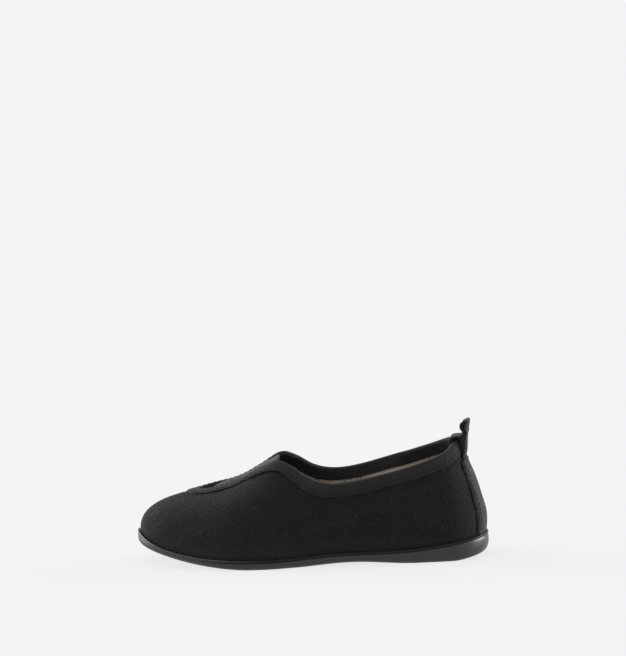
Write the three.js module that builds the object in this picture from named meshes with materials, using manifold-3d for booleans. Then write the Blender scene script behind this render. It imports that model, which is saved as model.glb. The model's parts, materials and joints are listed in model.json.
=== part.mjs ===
// A child's canvas ballet slipper for the left foot: a slip-on with a moulded rubber sole, a one-piece canvas
// upper, a bound topline that runs down round a slot in the vamp, an elastic gore across that slot, a backstay
// over the heel seam and a pull loop at the heel.
//
// Millimetres, +Z up. The toe points towards -X and the heel towards +X, and the outer side of the foot faces -Y.
// The origin is at the middle of the footprint, on the ground.
//
// Every sewn layer follows one surface, the canvas's outer face. It is a set of ribs round the shoe. Each rib
// starts under the foot, turns up at the sole's edge and ends at the topline, and skin(i, depth, offset) gives
// any point on, over or under that surface.

import * as THREE from 'three';
import Module from 'manifold-3d';
import { mergeVertices } from 'three/addons/utils/BufferGeometryUtils.js';

// ---------------------------------------------------------------- driving dimensions

const shoeLength = 165; // over the sole
const ballWidth = 62; // over the sole, across the ball of the foot
const waistWidth = 46; // over the sole, at its narrowest
const heelWidth = 45.5; // over the sole, across the heel

const heelHeight = 54.5; // topline over the back seam
const sideHeight = 38.1; // lowest point of the topline
const throatHeight = 48; // corners where the slot meets the topline
const slotEndHeight = 33.8; // toe end of the slot
const slotWidth = 24; // across the slot at the throat
const openingWidth = 44; // across the topline at its widest

const toeSpring = 9.6; // how far the sole's tip stands off the ground
const heelSpring = 2.4; // and its back edge
const archHeight = 1.3; // how far the waist stands off the ground
const rimLip = 1.2; // how far the sole's rim stands over its floor
const rimWall = 1.7; // thickness of that rim
const soleBevel = 2.4; // rounded bottom edge of the sole
const treadDepth = 0.8;
const treadWidth = 1.3;
const treadPitch = 6;
const treadBorder = 6; // plain rubber between the grooves and the edge
const treadZones = [[0.07, 0.22], [0.5, 0.92]]; // shares of the length that are grooved, from the heel

const canvasThickness = 0.7;
const liningThickness = 0.5;
const tapeThickness = 0.6; // binding
const stayThickness = 0.8; // backstay
const counterThickness = 1.2;
const puffThickness = 0.8;
const goreThickness = 0.9;
const seamTapeThickness = 0.4;
const threadThickness = 0.35;
const boardThickness = 1.2;
const foamThickness = 2.4;
const sockThickness = 0.6;
const wedgeDepth = 3; // filler under the heel
const wedgeInset = 7; // rubber round the filler
const wedgeReach = 0.2; // share of the length that the filler covers
const boardInset = 1.4; // each plate of the footbed stands this far inside the upper
const foamInset = 0.4;
const sockInset = 0.8;

const tapeOuterWidth = 5.5; // binding's leg on the outside
const tapeInnerWidth = 5; // and inside
const tapeFold = 0.8; // how far the binding's fold stands over the canvas edge
const stitchInset = 1.2; // a seam's distance from the edge that it holds
const lastingMargin = 8; // upper turned in under the board
const stayTopWidth = 15;
const stayBottomWidth = 22;
const stayDrop = 9; // backstay's top edge below the topline
const seamTapeWidth = 10;
const goreReach = 0.2; // how far the gore runs on along the canvas's slope, as a share of its width
const goreRise = 7; // how far it bows over that, just ahead of the throat
const counterEnd = 3.5; // rib where the counter stops on each side
const puffStart = 10.5; // rib where the toe puff starts on each side
const stiffenerRamp = 0.6; // ribs over which the lining eases in behind a stiffener
const footTuck = 1.5; // a stiffener ends this far above the foot of the wall
const loopWidth = 10; // pull loop, across the heel
const loopRise = 6.7; // over its hinge line
const loopThickness = 0.9;
const loopSlot = 0.8; // gap inside the loop
const loopLean = 7; // degrees, away from the foot
const loopClear = 2.6; // between the topline and the loop's foot
const loopLift = 2; // hinge line over the topline
const hubRadius = 1.6; // round foot of the loop, so that it tilts clear of its legs

const gap = 0.15; // clearance between layers that lie on each other
const seat = 0.3; // clearance round a piece that drops into another

// ---------------------------------------------------------------- sole outline and heights

const along = (share) => shoeLength * (0.5 - share); // X of a share of the length, counted from the heel
const shareAt = (x) => 0.5 - x / shoeLength;

const heelHalf = heelWidth / 2;
const waistHalf = waistWidth / 2;
const ballHalf = ballWidth / 2;

// Closed edge of the sole seen from above: heel, outer side, toe tip, inner side.
const outlinePoints = [
  [0, 0],
  [0.018, -0.5 * heelHalf],
  [0.073, -0.86 * heelHalf],
  [0.17, -heelHalf],
  [0.31, -1.03 * waistHalf],
  [0.47, -0.45 * (waistHalf + ballHalf)],
  [0.62, -ballHalf],
  [0.74, -0.965 * ballHalf],
  [0.86, -0.745 * ballHalf],
  [0.952, -0.42 * ballHalf],
  [0.988, -0.16 * ballHalf],
  [1, 0.13 * ballHalf],
  [0.991, 0.38 * ballHalf],
  [0.963, 0.6 * ballHalf],
  [0.9, 0.83 * ballHalf],
  [0.79, 0.985 * ballHalf],
  [0.68, ballHalf],
  [0.55, 0.46 * (waistHalf + ballHalf)],
  [0.4, 0.94 * waistHalf],
  [0.26, 0.95 * waistHalf],
  [0.15, 0.985 * heelHalf],
  [0.066, 0.83 * heelHalf],
  [0.016, 0.47 * heelHalf],
];
const toeTip = 11; // index of the toe's point in that list
const outline = new THREE.CatmullRomCurve3(
  outlinePoints.map(([share, y]) => new THREE.Vector3(along(share), y, 0)),
  true,
);
outline.arcLengthDivisions = 60 * outlinePoints.length;
const outlineLengths = outline.getLengths();
const toeArc = outlineLengths[60 * toeTip] / outlineLengths[outlineLengths.length - 1];

// y(x) through a list of points in x order, with a smooth slope.
function profile(points) {
  const slope = points.map((p, k) => {
    const before = points[Math.max(k - 1, 0)];
    const after = points[Math.min(k + 1, points.length - 1)];
    return (after[1] - before[1]) / (after[0] - before[0]);
  });
  return (x) => {
    let k = 0;
    while (k < points.length - 2 && x > points[k + 1][0]) k += 1;
    const [x0, y0] = points[k];
    const [x1, y1] = points[k + 1];
    const width = x1 - x0;
    const t = THREE.MathUtils.clamp((x - x0) / width, 0, 1);
    const rise = t * t * (3 - 2 * t);
    return y0 + (y1 - y0) * rise + width * t * (1 - t) * ((1 - t) * slope[k] - t * slope[k + 1]);
  };
}

// The ground surface is flat under the heel and the ball, arched between them and sprung at both ends.
const heelFlatStart = 0.085;
const heelFlatEnd = 0.2;
const ballFlatStart = 0.54;
const ballFlatEnd = 0.66;
function groundHeight(share) {
  if (share > ballFlatEnd) return toeSpring * ((share - ballFlatEnd) / (1 - ballFlatEnd)) ** 1.8;
  if (share < heelFlatStart) return heelSpring * (1 - Math.max(share, 0) / heelFlatStart) ** 1.3;
  if (share < heelFlatEnd || share > ballFlatStart) return 0;
  const t = (share - heelFlatEnd) / (ballFlatStart - heelFlatEnd);
  return archHeight * Math.sin(Math.PI * t) ** 2;
}

const rimHeight = profile([
  [0, 11.2],
  [0.05, 10],
  [0.125, 8.1],
  [0.24, 6.4],
  [0.4, 5.9],
  [0.52, 4.9],
  [0.67, 4.6],
  [0.8, 5.7],
  [0.9, 8.4],
  [0.96, 12],
  [1, 16],
]);
const floorHeight = (share) => rimHeight(share) - rimLip;

// ---------------------------------------------------------------- ribs of the upper

// One key rib per row, from the back seam round to the toe end of the slot. Both sides use the same rows.
//   edge: share of the way round the sole's edge, heel to toe
//   top: [share of the length, half width, height] of the topline
//   tilt: how far the topline is lower than that on the outer side and higher on the inner side
//   wall: how far the rib's Bezier handles stand [out, up] from its foot and [out, down] from its top
const openHalf = openingWidth / 2;
const slotHalf = slotWidth / 2;
const heelRise = (share) => THREE.MathUtils.lerp(sideHeight, heelHeight, share);
const throatRise = (share) => THREE.MathUtils.lerp(sideHeight, throatHeight, share);
const slotRise = (share) => THREE.MathUtils.lerp(slotEndHeight, throatHeight, share);
const keyRibs = [
  { edge: 0, top: [0.078, 0, heelHeight], tilt: 0, wall: [4, 11.5, 4.6, 12.5] },
  { edge: 0.11, top: [0.103, 0.53 * openHalf, heelRise(0.823)], tilt: 1.4, wall: [3.3, 11, 4, 12] },
  { edge: 0.2, top: [0.17, 0.78 * openHalf, heelRise(0.567)], tilt: 1.6, wall: [2.5, 10.5, 3, 12] },
  { edge: 0.3, top: [0.273, 0.94 * openHalf, heelRise(0.28)], tilt: 1.1, wall: [2, 10, 2.2, 11] },
  { edge: 0.394, top: [0.376, openHalf, heelRise(0.043)], tilt: 0.6, wall: [2, 10, 2.4, 11] },
  { edge: 0.462, top: [0.442, 0.975 * openHalf, sideHeight], tilt: 0.4, wall: [2, 10.5, 3.4, 11] },
  { edge: 0.52, top: [0.497, 0.83 * openHalf, throatRise(0.242)], tilt: 0.4, wall: [2, 11, 6, 10.5] },
  { edge: 0.568, top: [0.548, slotHalf + 2.4, throatRise(0.798)], tilt: 0.4, wall: [2, 12, 9.5, 8.5] },
  { edge: 0.61, top: [0.588, slotHalf, throatHeight], tilt: 0.3, wall: [1.9, 13, 12, 6.6] },
  { edge: 0.656, top: [0.636, slotHalf - 1.7, slotRise(0.718)], tilt: -0.3, wall: [1.8, 13, 14, 5.2] },
  { edge: 0.724, top: [0.703, slotHalf - 3.6, slotRise(0.313)], tilt: -0.25, wall: [1.9, 13, 15, 3.8] },
  { edge: 0.802, top: [0.77, slotHalf - 6, slotRise(0.106)], tilt: 0.2, wall: [2.2, 12.4, 16, 3.4] },
  { edge: 0.885, top: [0.809, slotHalf - 8.9, slotRise(0.014)], tilt: 0.1, wall: [2.9, 10.6, 17.5, 3] },
  { edge: 1, top: [0.821, 0, slotEndHeight], tilt: 0, wall: [3.6, 10, 19, 2.6] },
];
const sideKeys = keyRibs.length - 1; // rib index of the toe
const turn = 2 * sideKeys; // ribs in one turn round the shoe
const throatRib = 8;
const toeSet = 2.2; // how far the slot's toe end lies towards the inner side of the foot

const centreLine = (share) => toeSet * THREE.MathUtils.smoothstep(share, 0.35, 0.82);

function keyOf(index) {
  const k = ((index % turn) + turn) % turn;
  const inner = k > sideKeys;
  const { edge, top, tilt, wall } = keyRibs[inner ? turn - k : k];
  const arc = inner ? 1 - edge * (1 - toeArc) : edge * toeArc;
  const side = inner ? 1 : -1;
  return {
    arc: arc + Math.floor(index / turn),
    top: new THREE.Vector3(along(top[0]), centreLine(top[0]) + side * top[1], top[2] + side * tilt),
    wall: new THREE.Vector4(...wall),
  };
}

// Catmull-Rom between key ribs, for any number or vector.
function between(index, pick) {
  const k = Math.floor(index);
  const t = index - k;
  const [a, b, c, d] = [-1, 0, 1, 2].map((step) => pick(keyOf(k + step)));
  const mix = (p, q, r, s) =>
    q + 0.5 * t * (r - p + t * (2 * p - 5 * q + 4 * r - s + t * (3 * (q - r) + s - p)));
  if (typeof a === 'number') return mix(a, b, c, d);
  return b.clone().fromArray(a.toArray().map((v, n) => mix(v, b.toArray()[n], c.toArray()[n], d.toArray()[n])));
}

function edgePoint(arc, inset) {
  const u = ((arc % 1) + 1) % 1;
  const tangent = outline.getTangentAt(u);
  const inward = new THREE.Vector3(tangent.y, -tangent.x, 0).normalize();
  return outline.getPointAt(u).addScaledVector(inward, inset);
}

const footInset = rimWall + 2 * seat; // canvas foot inside the sole's edge
const ribSteps = 40;
const ribCache = new Map();

// A rib as a fine polyline from the topline down to the sole's edge and in under the foot, with its lengths.
function rib(index) {
  const name = index.toFixed(5);
  if (ribCache.has(name)) return ribCache.get(name);
  const arc = between(index, (key) => key.arc);
  const top = between(index, (key) => key.top);
  const wall = between(index, (key) => key.wall);
  const foot = edgePoint(arc, footInset);
  foot.z = floorHeight(shareAt(foot.x)) + gap;
  const out = edgePoint(arc, 0).sub(edgePoint(arc, 1));
  const away = foot.clone().sub(top).setZ(0).normalize();
  const curve = new THREE.CubicBezierCurve3(
    top,
    top.clone().addScaledVector(away, wall.z).add(new THREE.Vector3(0, 0, -wall.w)),
    foot.clone().addScaledVector(out, wall.x).add(new THREE.Vector3(0, 0, wall.y)),
    foot,
  );
  const points = curve.getPoints(ribSteps);
  const underFoot = [0.25, 0.5, 1].map((share) => {
    const p = edgePoint(arc, footInset + share * lastingMargin);
    p.z = floorHeight(shareAt(p.x)) + gap;
    return p;
  });
  points.push(...underFoot);
  const lengths = [0];
  for (let n = 1; n < points.length; n += 1) lengths.push(lengths[n - 1] + points[n].distanceTo(points[n - 1]));
  const made = { points, lengths, wallLength: lengths[ribSteps] };
  ribCache.set(name, made);
  return made;
}

// Point on a rib at a depth below the topline, measured along the rib. A negative depth runs on past the top.
function onRib(index, depth) {
  const { points, lengths } = rib(index);
  if (depth < 0) {
    const up = points[0].clone().sub(points[1]).normalize();
    return points[0].clone().addScaledVector(up, -depth);
  }
  let n = 1;
  while (n < lengths.length - 1 && lengths[n] < depth) n += 1;
  const t = (depth - lengths[n - 1]) / (lengths[n] - lengths[n - 1]);
  return points[n - 1].clone().lerp(points[n], Math.min(t, 1));
}

const wallLength = (index) => rib(index).wallLength;

// Point at an offset from the canvas's outer face: over it when positive, towards the foot when negative.
function skin(index, depth, offset) {
  const step = 0.6;
  const round = onRib(index + 0.05, depth).sub(onRib(index - 0.05, depth));
  const low = depth + step;
  const down = onRib(index, low).sub(onRib(index, low - 2 * step));
  const normal = down.cross(round).normalize();
  return onRib(index, depth).addScaledVector(normal, -offset);
}

// ---------------------------------------------------------------- mesh helpers

function meshFrom(positions, triangles) {
  const geometry = new THREE.BufferGeometry();
  geometry.setAttribute('position', new THREE.Float32BufferAttribute(positions.flatMap((p) => p.toArray()), 3));
  geometry.setIndex(triangles.flat());
  geometry.computeVertexNormals();
  return geometry;
}

const quad = (a, b, c, d) => [[a, b, c], [a, c, d]];

// Closed sheet between two grids of points, grid[row][column]. Its columns may run right round the shoe.
function sheet(over, under, closed = false) {
  const rows = over.length;
  const columns = over[0].length;
  const positions = [...over.flat(), ...under.flat()];
  const top = (r, c) => r * columns + (c % columns);
  const bottom = (r, c) => rows * columns + top(r, c);
  const triangles = [];
  const steps = closed ? columns : columns - 1;
  const last = rows - 1;
  const end = columns - 1;
  for (let c = 0; c < steps; c += 1) {
    for (let r = 0; r < last; r += 1) {
      triangles.push(...quad(top(r, c), top(r, c + 1), top(r + 1, c + 1), top(r + 1, c)));
      triangles.push(...quad(bottom(r, c), bottom(r + 1, c), bottom(r + 1, c + 1), bottom(r, c + 1)));
    }
    triangles.push(...quad(top(0, c), bottom(0, c), bottom(0, c + 1), top(0, c + 1)));
    triangles.push(...quad(top(last, c), top(last, c + 1), bottom(last, c + 1), bottom(last, c)));
  }
  for (let r = 0; r < last && !closed; r += 1) {
    triangles.push(...quad(top(r, 0), top(r + 1, 0), bottom(r + 1, 0), bottom(r, 0)));
    triangles.push(...quad(top(r, end), bottom(r, end), bottom(r + 1, end), top(r + 1, end)));
  }
  return meshFrom(positions, triangles);
}

// Closed solid from rings of points round the sole, first ring at the bottom. Both ends are closed by rungs
// that join each outer-side point to its partner on the inner side.
function loft(rings) {
  const count = rings[0].length;
  const at = (r, c) => r * count + (c % count);
  const triangles = [];
  for (let r = 0; r < rings.length - 1; r += 1) {
    for (let c = 0; c < count; c += 1) {
      triangles.push(...quad(at(r, c), at(r + 1, c), at(r + 1, c + 1), at(r, c + 1)));
    }
  }
  const last = rings.length - 1;
  for (let c = 0; c < count / 2; c += 1) {
    const [a, b, d, e] = [c, c + 1, count - c - 1, (count - c) % count];
    const rungs = [[a, b, d], [a, d, e]].filter((face) => new Set(face).size === 3);
    rungs.forEach(([p, q, r]) => {
      triangles.push([at(0, p), at(0, q), at(0, r)]);
      triangles.push([at(last, p), at(last, r), at(last, q)]);
    });
  }
  return meshFrom(rings.flat(), triangles);
}

// Closed tube of square section along points, lying on a surface. Ends are capped unless it runs in a ring.
function thread(points, normals, closed = false) {
  const half = threadThickness / 2;
  const count = points.length;
  const positions = points.flatMap((p, n) => {
    const before = points[closed ? (n + count - 1) % count : Math.max(n - 1, 0)];
    const after = points[closed ? (n + 1) % count : Math.min(n + 1, count - 1)];
    const across = after.clone().sub(before).cross(normals[n]).normalize();
    return [[1, 1], [-1, 1], [-1, -1], [1, -1]].map(([a, b]) =>
      p.clone().addScaledVector(across, a * half).addScaledVector(normals[n], b * half));
  });
  const at = (n, k) => (n % count) * 4 + (k % 4);
  const triangles = [];
  for (let n = 0; n < (closed ? count : count - 1); n += 1) {
    for (let k = 0; k < 4; k += 1) triangles.push(...quad(at(n, k), at(n + 1, k), at(n + 1, k + 1), at(n, k + 1)));
  }
  if (!closed) {
    triangles.push(...quad(at(0, 0), at(0, 1), at(0, 2), at(0, 3)));
    triangles.push(...quad(at(count - 1, 3), at(count - 1, 2), at(count - 1, 1), at(count - 1, 0)));
  }
  return meshFrom(positions, triangles);
}

const wasm = await Module();
wasm.setup();

function solidOf(geometry) {
  const bare = geometry.clone();
  bare.deleteAttribute('normal');
  bare.deleteAttribute('uv');
  const merged = mergeVertices(bare, 1e-4);
  return new wasm.Manifold(new wasm.Mesh({
    numProp: 3,
    vertProperties: merged.attributes.position.array,
    triVerts: new Uint32Array(merged.index.array),
  }));
}

function geometryOf(solid) {
  const mesh = solid.getMesh();
  const geometry = new THREE.BufferGeometry();
  geometry.setAttribute('position', new THREE.BufferAttribute(mesh.vertProperties, 3));
  geometry.setIndex(new THREE.BufferAttribute(mesh.triVerts, 1));
  geometry.computeVertexNormals();
  return geometry;
}

// ---------------------------------------------------------------- places shared by the pieces

// Rib index whose foot or topline lies a distance to one side of the back seam, at a depth.
function ribBeside(distance, depth) {
  const perRib = onRib(0.3, depth).distanceTo(onRib(0, depth)) / 0.3;
  return distance / perRib;
}

const seamRib = ribBeside(seamTapeWidth / 2, stayDrop);
const loopRib = ribBeside(loopWidth / 2, 0);

// Columns round the shoe. They repeat from one layer to the next, so that the layers' facets lie parallel.
const toeColumns = 11.5; // rib past which the columns stand closer, for the tight curve of the toe
const sideColumns = [0, seamRib, 0.6, 0.8, 1];
for (let k = 1.5; k < toeColumns; k += 0.5) sideColumns.push(k);
for (let k = toeColumns; k < sideKeys; k += 0.25) sideColumns.push(k);
const columns = [
  ...sideColumns,
  sideKeys,
  ...sideColumns.slice(1).reverse().map((k) => turn - k),
];

// Rows of a rib between two depths.
const wallRowCount = 6;
const stiffenerRows = [3, 9]; // first row under a stiffener, and the row after the last one
function rowsOf(index) {
  const length = wallLength(index);
  const bound = [0, tapeInnerWidth, tapeOuterWidth];
  const body = Array.from({ length: wallRowCount }, (_, n) =>
    tapeOuterWidth + ((n + 1) / wallRowCount) * (length - footTuck - tapeOuterWidth));
  return [...bound, ...body, length, length + 0.25 * lastingMargin, length + lastingMargin];
}

function stiffenerRoom(index, depth) {
  const up = THREE.MathUtils.smoothstep(depth, tapeInnerWidth, tapeInnerWidth + 4);
  const under = 1 - THREE.MathUtils.smoothstep(depth - wallLength(index), -footTuck, 0);
  return up * under;
}
function counterAt(index, depth) {
  const away = Math.min(index, turn - index);
  const round = 1 - THREE.MathUtils.smoothstep(away, counterEnd, counterEnd + stiffenerRamp);
  return round * stiffenerRoom(index, depth) * (counterThickness + gap);
}
function puffAt(index, depth) {
  const towards = sideKeys - Math.abs(index - sideKeys);
  const round = THREE.MathUtils.smoothstep(towards, puffStart - stiffenerRamp, puffStart);
  return round * stiffenerRoom(index, depth) * (puffThickness + gap);
}
const liningTop = (index, depth) =>
  -(canvasThickness + gap) - counterAt(index, depth) - puffAt(index, depth);
const liningUnder = (index, depth) => liningTop(index, depth) - liningThickness;
const innerTapeTop = -(canvasThickness + liningThickness + 2 * gap);

// A grid of points on the skin, over the given columns, with depths and offsets per column.
const skinGrid = (cols, depthsOf, offsetOf) => {
  const depths = cols.map(depthsOf);
  return depths[0].map((_, r) => cols.map((c, n) => skin(c, depths[n][r], offsetOf(c, depths[n][r]))));
};

const solePoint = (index, inset, height) => {
  const p = edgePoint(between(index, (key) => key.arc), inset);
  p.z = height(shareAt(p.x));
  return p;
};
const soleRing = (inset, height) => columns.map((c) => solePoint(c, inset, height));

// ---------------------------------------------------------------- sole and footbed

function wedgeOutline(inset) {
  const front = along(wedgeReach) + inset - wedgeInset;
  const cols = columns.filter((c) => solePoint(c, inset, () => 0).x > front);
  cols.sort((a, b) => (a > sideKeys ? a - turn : a) - (b > sideKeys ? b - turn : b));
  const round = cols.map((c) => solePoint(c, inset, () => 0));
  const corners = [round[0], round.at(-1)].map((p) => new THREE.Vector2(front, p.y));
  const points = [corners[0], ...round.map((p) => new THREE.Vector2(p.x, p.y)), corners[1]];
  return new THREE.Shape(points);
}

function wedgeBlock(inset, bottom) {
  const block = new THREE.ExtrudeGeometry(wedgeOutline(inset), { depth: heelHeight, bevelEnabled: false });
  block.translate(0, 0, bottom);
  return solidOf(block);
}

const wedgeBottom = rimHeight(0.1) - rimLip - wedgeDepth;

// Distance from the middle line to a ring's edge at x, on one side.
function reachAt(ring, side, x) {
  const edge = ring.filter((p) => p.y * side > 0).sort((p, q) => p.x - q.x);
  const k = Math.max(edge.findIndex((p) => p.x > x), 1);
  const share = (x - edge[k - 1].x) / (edge[k].x - edge[k - 1].x);
  return side * THREE.MathUtils.lerp(edge[k - 1].y, edge[k].y, share);
}

function treadGrooves() {
  const grooves = [];
  const plain = soleRing(treadBorder, () => 0);
  treadZones.forEach(([from, to]) => {
    for (let x = along(from); x > along(to); x -= treadPitch) {
      const ends = [x - treadWidth, x + treadWidth];
      const [outer, inner] = [-1, 1].map((side) => Math.min(...ends.map((end) => reachAt(plain, side, end))));
      const top = groundHeight(shareAt(x)) + treadDepth;
      const box = new THREE.BoxGeometry(treadWidth, outer + inner, top + 1);
      box.translate(x, (inner - outer) / 2, (top - 1) / 2);
      grooves.push(solidOf(box));
    }
  });
  return grooves;
}

function outsole() {
  const blank = loft([
    soleRing(soleBevel, groundHeight),
    soleRing(0.45 * soleBevel, (s) => groundHeight(s) + 0.15 * soleBevel),
    soleRing(0.12 * soleBevel, (s) => groundHeight(s) + 0.52 * soleBevel),
    soleRing(0, (s) => groundHeight(s) + 1.1 * soleBevel),
    soleRing(0, (s) => rimHeight(s) - 0.5),
    soleRing(0.5, rimHeight),
    soleRing(rimWall, (s) => rimHeight(s) - 0.1),
    soleRing(rimWall, floorHeight),
    soleRing(footInset + 0.25 * lastingMargin, floorHeight),
    soleRing(footInset + lastingMargin, floorHeight),
  ]);
  let solid = solidOf(blank).subtract(wedgeBlock(wedgeInset, wedgeBottom));
  treadGrooves().forEach((groove) => {
    solid = solid.subtract(groove);
  });
  return geometryOf(solid);
}

function heelWedge() {
  const underFloor = loft([
    soleRing(rimWall, () => -1),
    soleRing(rimWall, floorHeight),
  ]);
  const block = wedgeBlock(wedgeInset + seat, wedgeBottom + seat);
  return geometryOf(solidOf(underFloor).intersect(block));
}

// Plates stacked on the sole's floor, inside the upper.
const marginTop = canvasThickness + liningThickness + 6 * gap; // turned-in upper, over the floor
const plateInset = footInset + canvasThickness + liningThickness + 2 * gap;
const stiffenerInset = (index) => {
  const middle = 0.8 * wallLength(index);
  return Math.max(counterAt(index, middle), puffAt(index, middle));
};

function plate(lift, thickness, inset) {
  const ring = (extra, height) => columns.map((c) =>
    solePoint(c, inset + extra + stiffenerInset(c), (s) => floorHeight(s) + height));
  return loft([ring(0.3, lift), ring(0, lift + 0.3 * thickness), ring(0.1, lift + thickness)]);
}

const boardLift = marginTop;
const foamLift = boardLift + boardThickness + gap;
const sockLift = foamLift + foamThickness + gap;

const insoleBoard = () => plate(boardLift, boardThickness, plateInset + boardInset);
const footbedFoam = () => plate(foamLift, foamThickness, plateInset + foamInset);
const sockLiner = () => plate(sockLift, sockThickness, plateInset + sockInset);

// ---------------------------------------------------------------- sewn upper

function upperCanvas() {
  return sheet(
    skinGrid(columns, rowsOf, () => 0),
    skinGrid(columns, rowsOf, () => -canvasThickness),
    true,
  );
}

function upperLining() {
  return sheet(skinGrid(columns, rowsOf, liningTop), skinGrid(columns, rowsOf, liningUnder), true);
}

function stiffener(cols, thickness) {
  const rows = (index) => rowsOf(index).slice(...stiffenerRows);
  const over = -(canvasThickness + gap);
  return sheet(skinGrid(cols, rows, () => over), skinGrid(cols, rows, () => over - thickness));
}

function heelCounter() {
  const cols = columns
    .filter((c) => Math.min(c, turn - c) <= counterEnd)
    .map((c) => (c > sideKeys ? c - turn : c))
    .sort((a, b) => a - b);
  return stiffener(cols, counterThickness);
}

function toePuff() {
  const cols = columns.filter((c) => sideKeys - Math.abs(c - sideKeys) >= puffStart);
  return stiffener(cols, puffThickness);
}

// Section of the binding as [depth, offset]: outer leg, fold over the canvas edge, inner leg, and back.
function bindingSection() {
  const outerFace = gap + tapeThickness;
  const innerFace = innerTapeTop - tapeThickness;
  const fold = tapeFold + gap;
  return [
    [tapeOuterWidth, outerFace],
    [tapeInnerWidth, outerFace],
    [0, outerFace],
    [-fold, outerFace - 0.35 * tapeThickness],
    [-fold - 0.3 * tapeThickness, (outerFace + innerFace) / 2],
    [-fold, innerFace + 0.35 * tapeThickness],
    [0, innerFace],
    [tapeInnerWidth, innerFace],
    [tapeInnerWidth, innerTapeTop],
    [0, innerTapeTop],
    [-gap, innerTapeTop],
    [-gap, gap],
    [0, gap],
    [tapeInnerWidth, gap],
    [tapeOuterWidth, gap],
  ];
}

// Facets are split along the same diagonal as the canvas's, so that the layers stay parallel.
function toplineBinding() {
  const section = bindingSection();
  const count = section.length;
  const positions = columns.flatMap((c) => section.map(([depth, offset]) => skin(c, depth, offset)));
  const at = (n, k) => (n % columns.length) * count + (k % count);
  const triangles = [];
  for (let n = 0; n < columns.length; n += 1) {
    for (let k = 0; k < count; k += 1) {
      const face = [at(n, k), at(n, k + 1), at(n + 1, k + 1), at(n + 1, k)];
      if (section[(k + 1) % count][0] < section[k][0]) face.push(face.shift());
      triangles.push(...quad(...face));
    }
  }
  return meshFrom(positions, triangles);
}

const goreTop = innerTapeTop - tapeThickness - seat;
const goreStep = 3 * seat; // clears the binding's fold
const goreStart = throatRib + 0.5;
const goreEnd = sideKeys - 0.5;
const goreBow = profile([
  [goreStart, 0.8 * goreRise],
  [throatRib + 1.5, goreRise],
  [throatRib + 2.5, 0.96 * goreRise],
  [throatRib + 3.5, 0.6 * goreRise],
  [goreEnd, 0.05 * goreRise],
]);
const goreAcross = [1 / 6, 1 / 3, 1 / 2, 2 / 3, 5 / 6]; // shares of the slot's width

// The gore is sewn under the binding on both sides of the slot and bows over the foot between them.
function elasticGore() {
  const ribs = [];
  for (let k = goreStart; k <= goreEnd; k += 0.5) ribs.push(k);
  const row = (k, offset) => {
    const [outer, inner] = [k, turn - k].map((index) => skin(index, tapeInnerWidth, offset));
    const [outerEdge, innerEdge] = [k, turn - k].map((index) => skin(index, 0, offset - goreStep));
    const reach = goreReach * outerEdge.distanceTo(innerEdge);
    const lift = goreBow(k);
    const handle = (edge, sewn) => {
      const onward = edge.clone().sub(sewn).normalize();
      return edge.clone().addScaledVector(onward, reach).add(new THREE.Vector3(0, 0, lift));
    };
    const bow = new THREE.CubicBezierCurve3(
      outerEdge,
      handle(outerEdge, outer),
      handle(innerEdge, inner),
      innerEdge,
    );
    return [outer, outerEdge, ...goreAcross.map((share) => bow.getPoint(share)), innerEdge, inner];
  };
  return sheet(
    ribs.map((k) => row(k, goreTop)),
    ribs.map((k) => row(k, goreTop - goreThickness)),
  );
}

const stayFoot = rimLip + 3 * seat; // backstay's lower edge above the foot of the wall
const stayEnd = (index) => wallLength(index) - stayFoot;
const stayHalf = (depth) =>
  THREE.MathUtils.mapLinear(depth, stayDrop, stayEnd(0), stayTopWidth / 2, stayBottomWidth / 2);

function backstay() {
  const depthsAt = (index) => [stayDrop, ...rowsOf(index).slice(3, 8), stayEnd(index)];
  const across = [-1, -0.75, -0.5, -0.25, 0, 0.25, 0.5, 0.75, 1];
  const grid = (offset) => depthsAt(0).map((depth, r) => across.map((side) => {
    const index = side * ribBeside(stayHalf(depth), depth);
    return skin(index, depthsAt(index)[r], offset);
  }));
  return sheet(grid(seat + stayThickness), grid(seat));
}

function innerSeamTape() {
  const cols = [-seamRib, 0, seamRib];
  const rows = (index) => rowsOf(index).slice(2, 9);
  const over = (index, depth) => liningUnder(index, depth) - gap;
  return sheet(
    skinGrid(cols, rows, over),
    skinGrid(cols, rows, (index, depth) => over(index, depth) - seamTapeThickness),
  );
}

// ---------------------------------------------------------------- pull loop

const rimTop = skin(0, -(tapeFold + gap + 0.3 * tapeThickness), 0);
const hinge = new THREE.Vector3(rimTop.x + loopClear + hubRadius, 0, rimTop.z + loopLift);

// Side view of the free part of the loop, hinge line at the origin: a straight outer leg and a bulging inner leg.
function loopShape() {
  const slotTop = loopRise - loopThickness;
  const shape = new THREE.Shape();
  shape.absarc(0, 0, hubRadius, Math.PI, 2 * Math.PI, false);
  shape.lineTo(hubRadius, loopRise - 1);
  shape.quadraticCurveTo(hubRadius, loopRise, hubRadius - 1, loopRise);
  shape.quadraticCurveTo(-hubRadius, loopRise - 0.4, -hubRadius - 0.8, 0.55 * loopRise);
  shape.quadraticCurveTo(-hubRadius - 0.9, 0.3 * loopRise, -hubRadius, 0);
  const slot = new THREE.Path();
  const right = loopSlot / 2;
  slot.moveTo(right, 0.6);
  slot.lineTo(right - loopSlot, 1);
  slot.lineTo(right - loopSlot - 0.2, 0.55 * loopRise);
  slot.lineTo(right - 0.7, slotTop - 0.3);
  slot.lineTo(right, slotTop - 0.6);
  slot.closePath();
  shape.holes.push(slot);
  return shape;
}

function pullLoop() {
  const tape = new THREE.ExtrudeGeometry(loopShape(), {
    depth: loopWidth,
    bevelEnabled: false,
    curveSegments: 5,
  });
  tape.translate(0, 0, -loopWidth / 2);
  tape.rotateX(Math.PI / 2);
  return tape;
}

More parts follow.
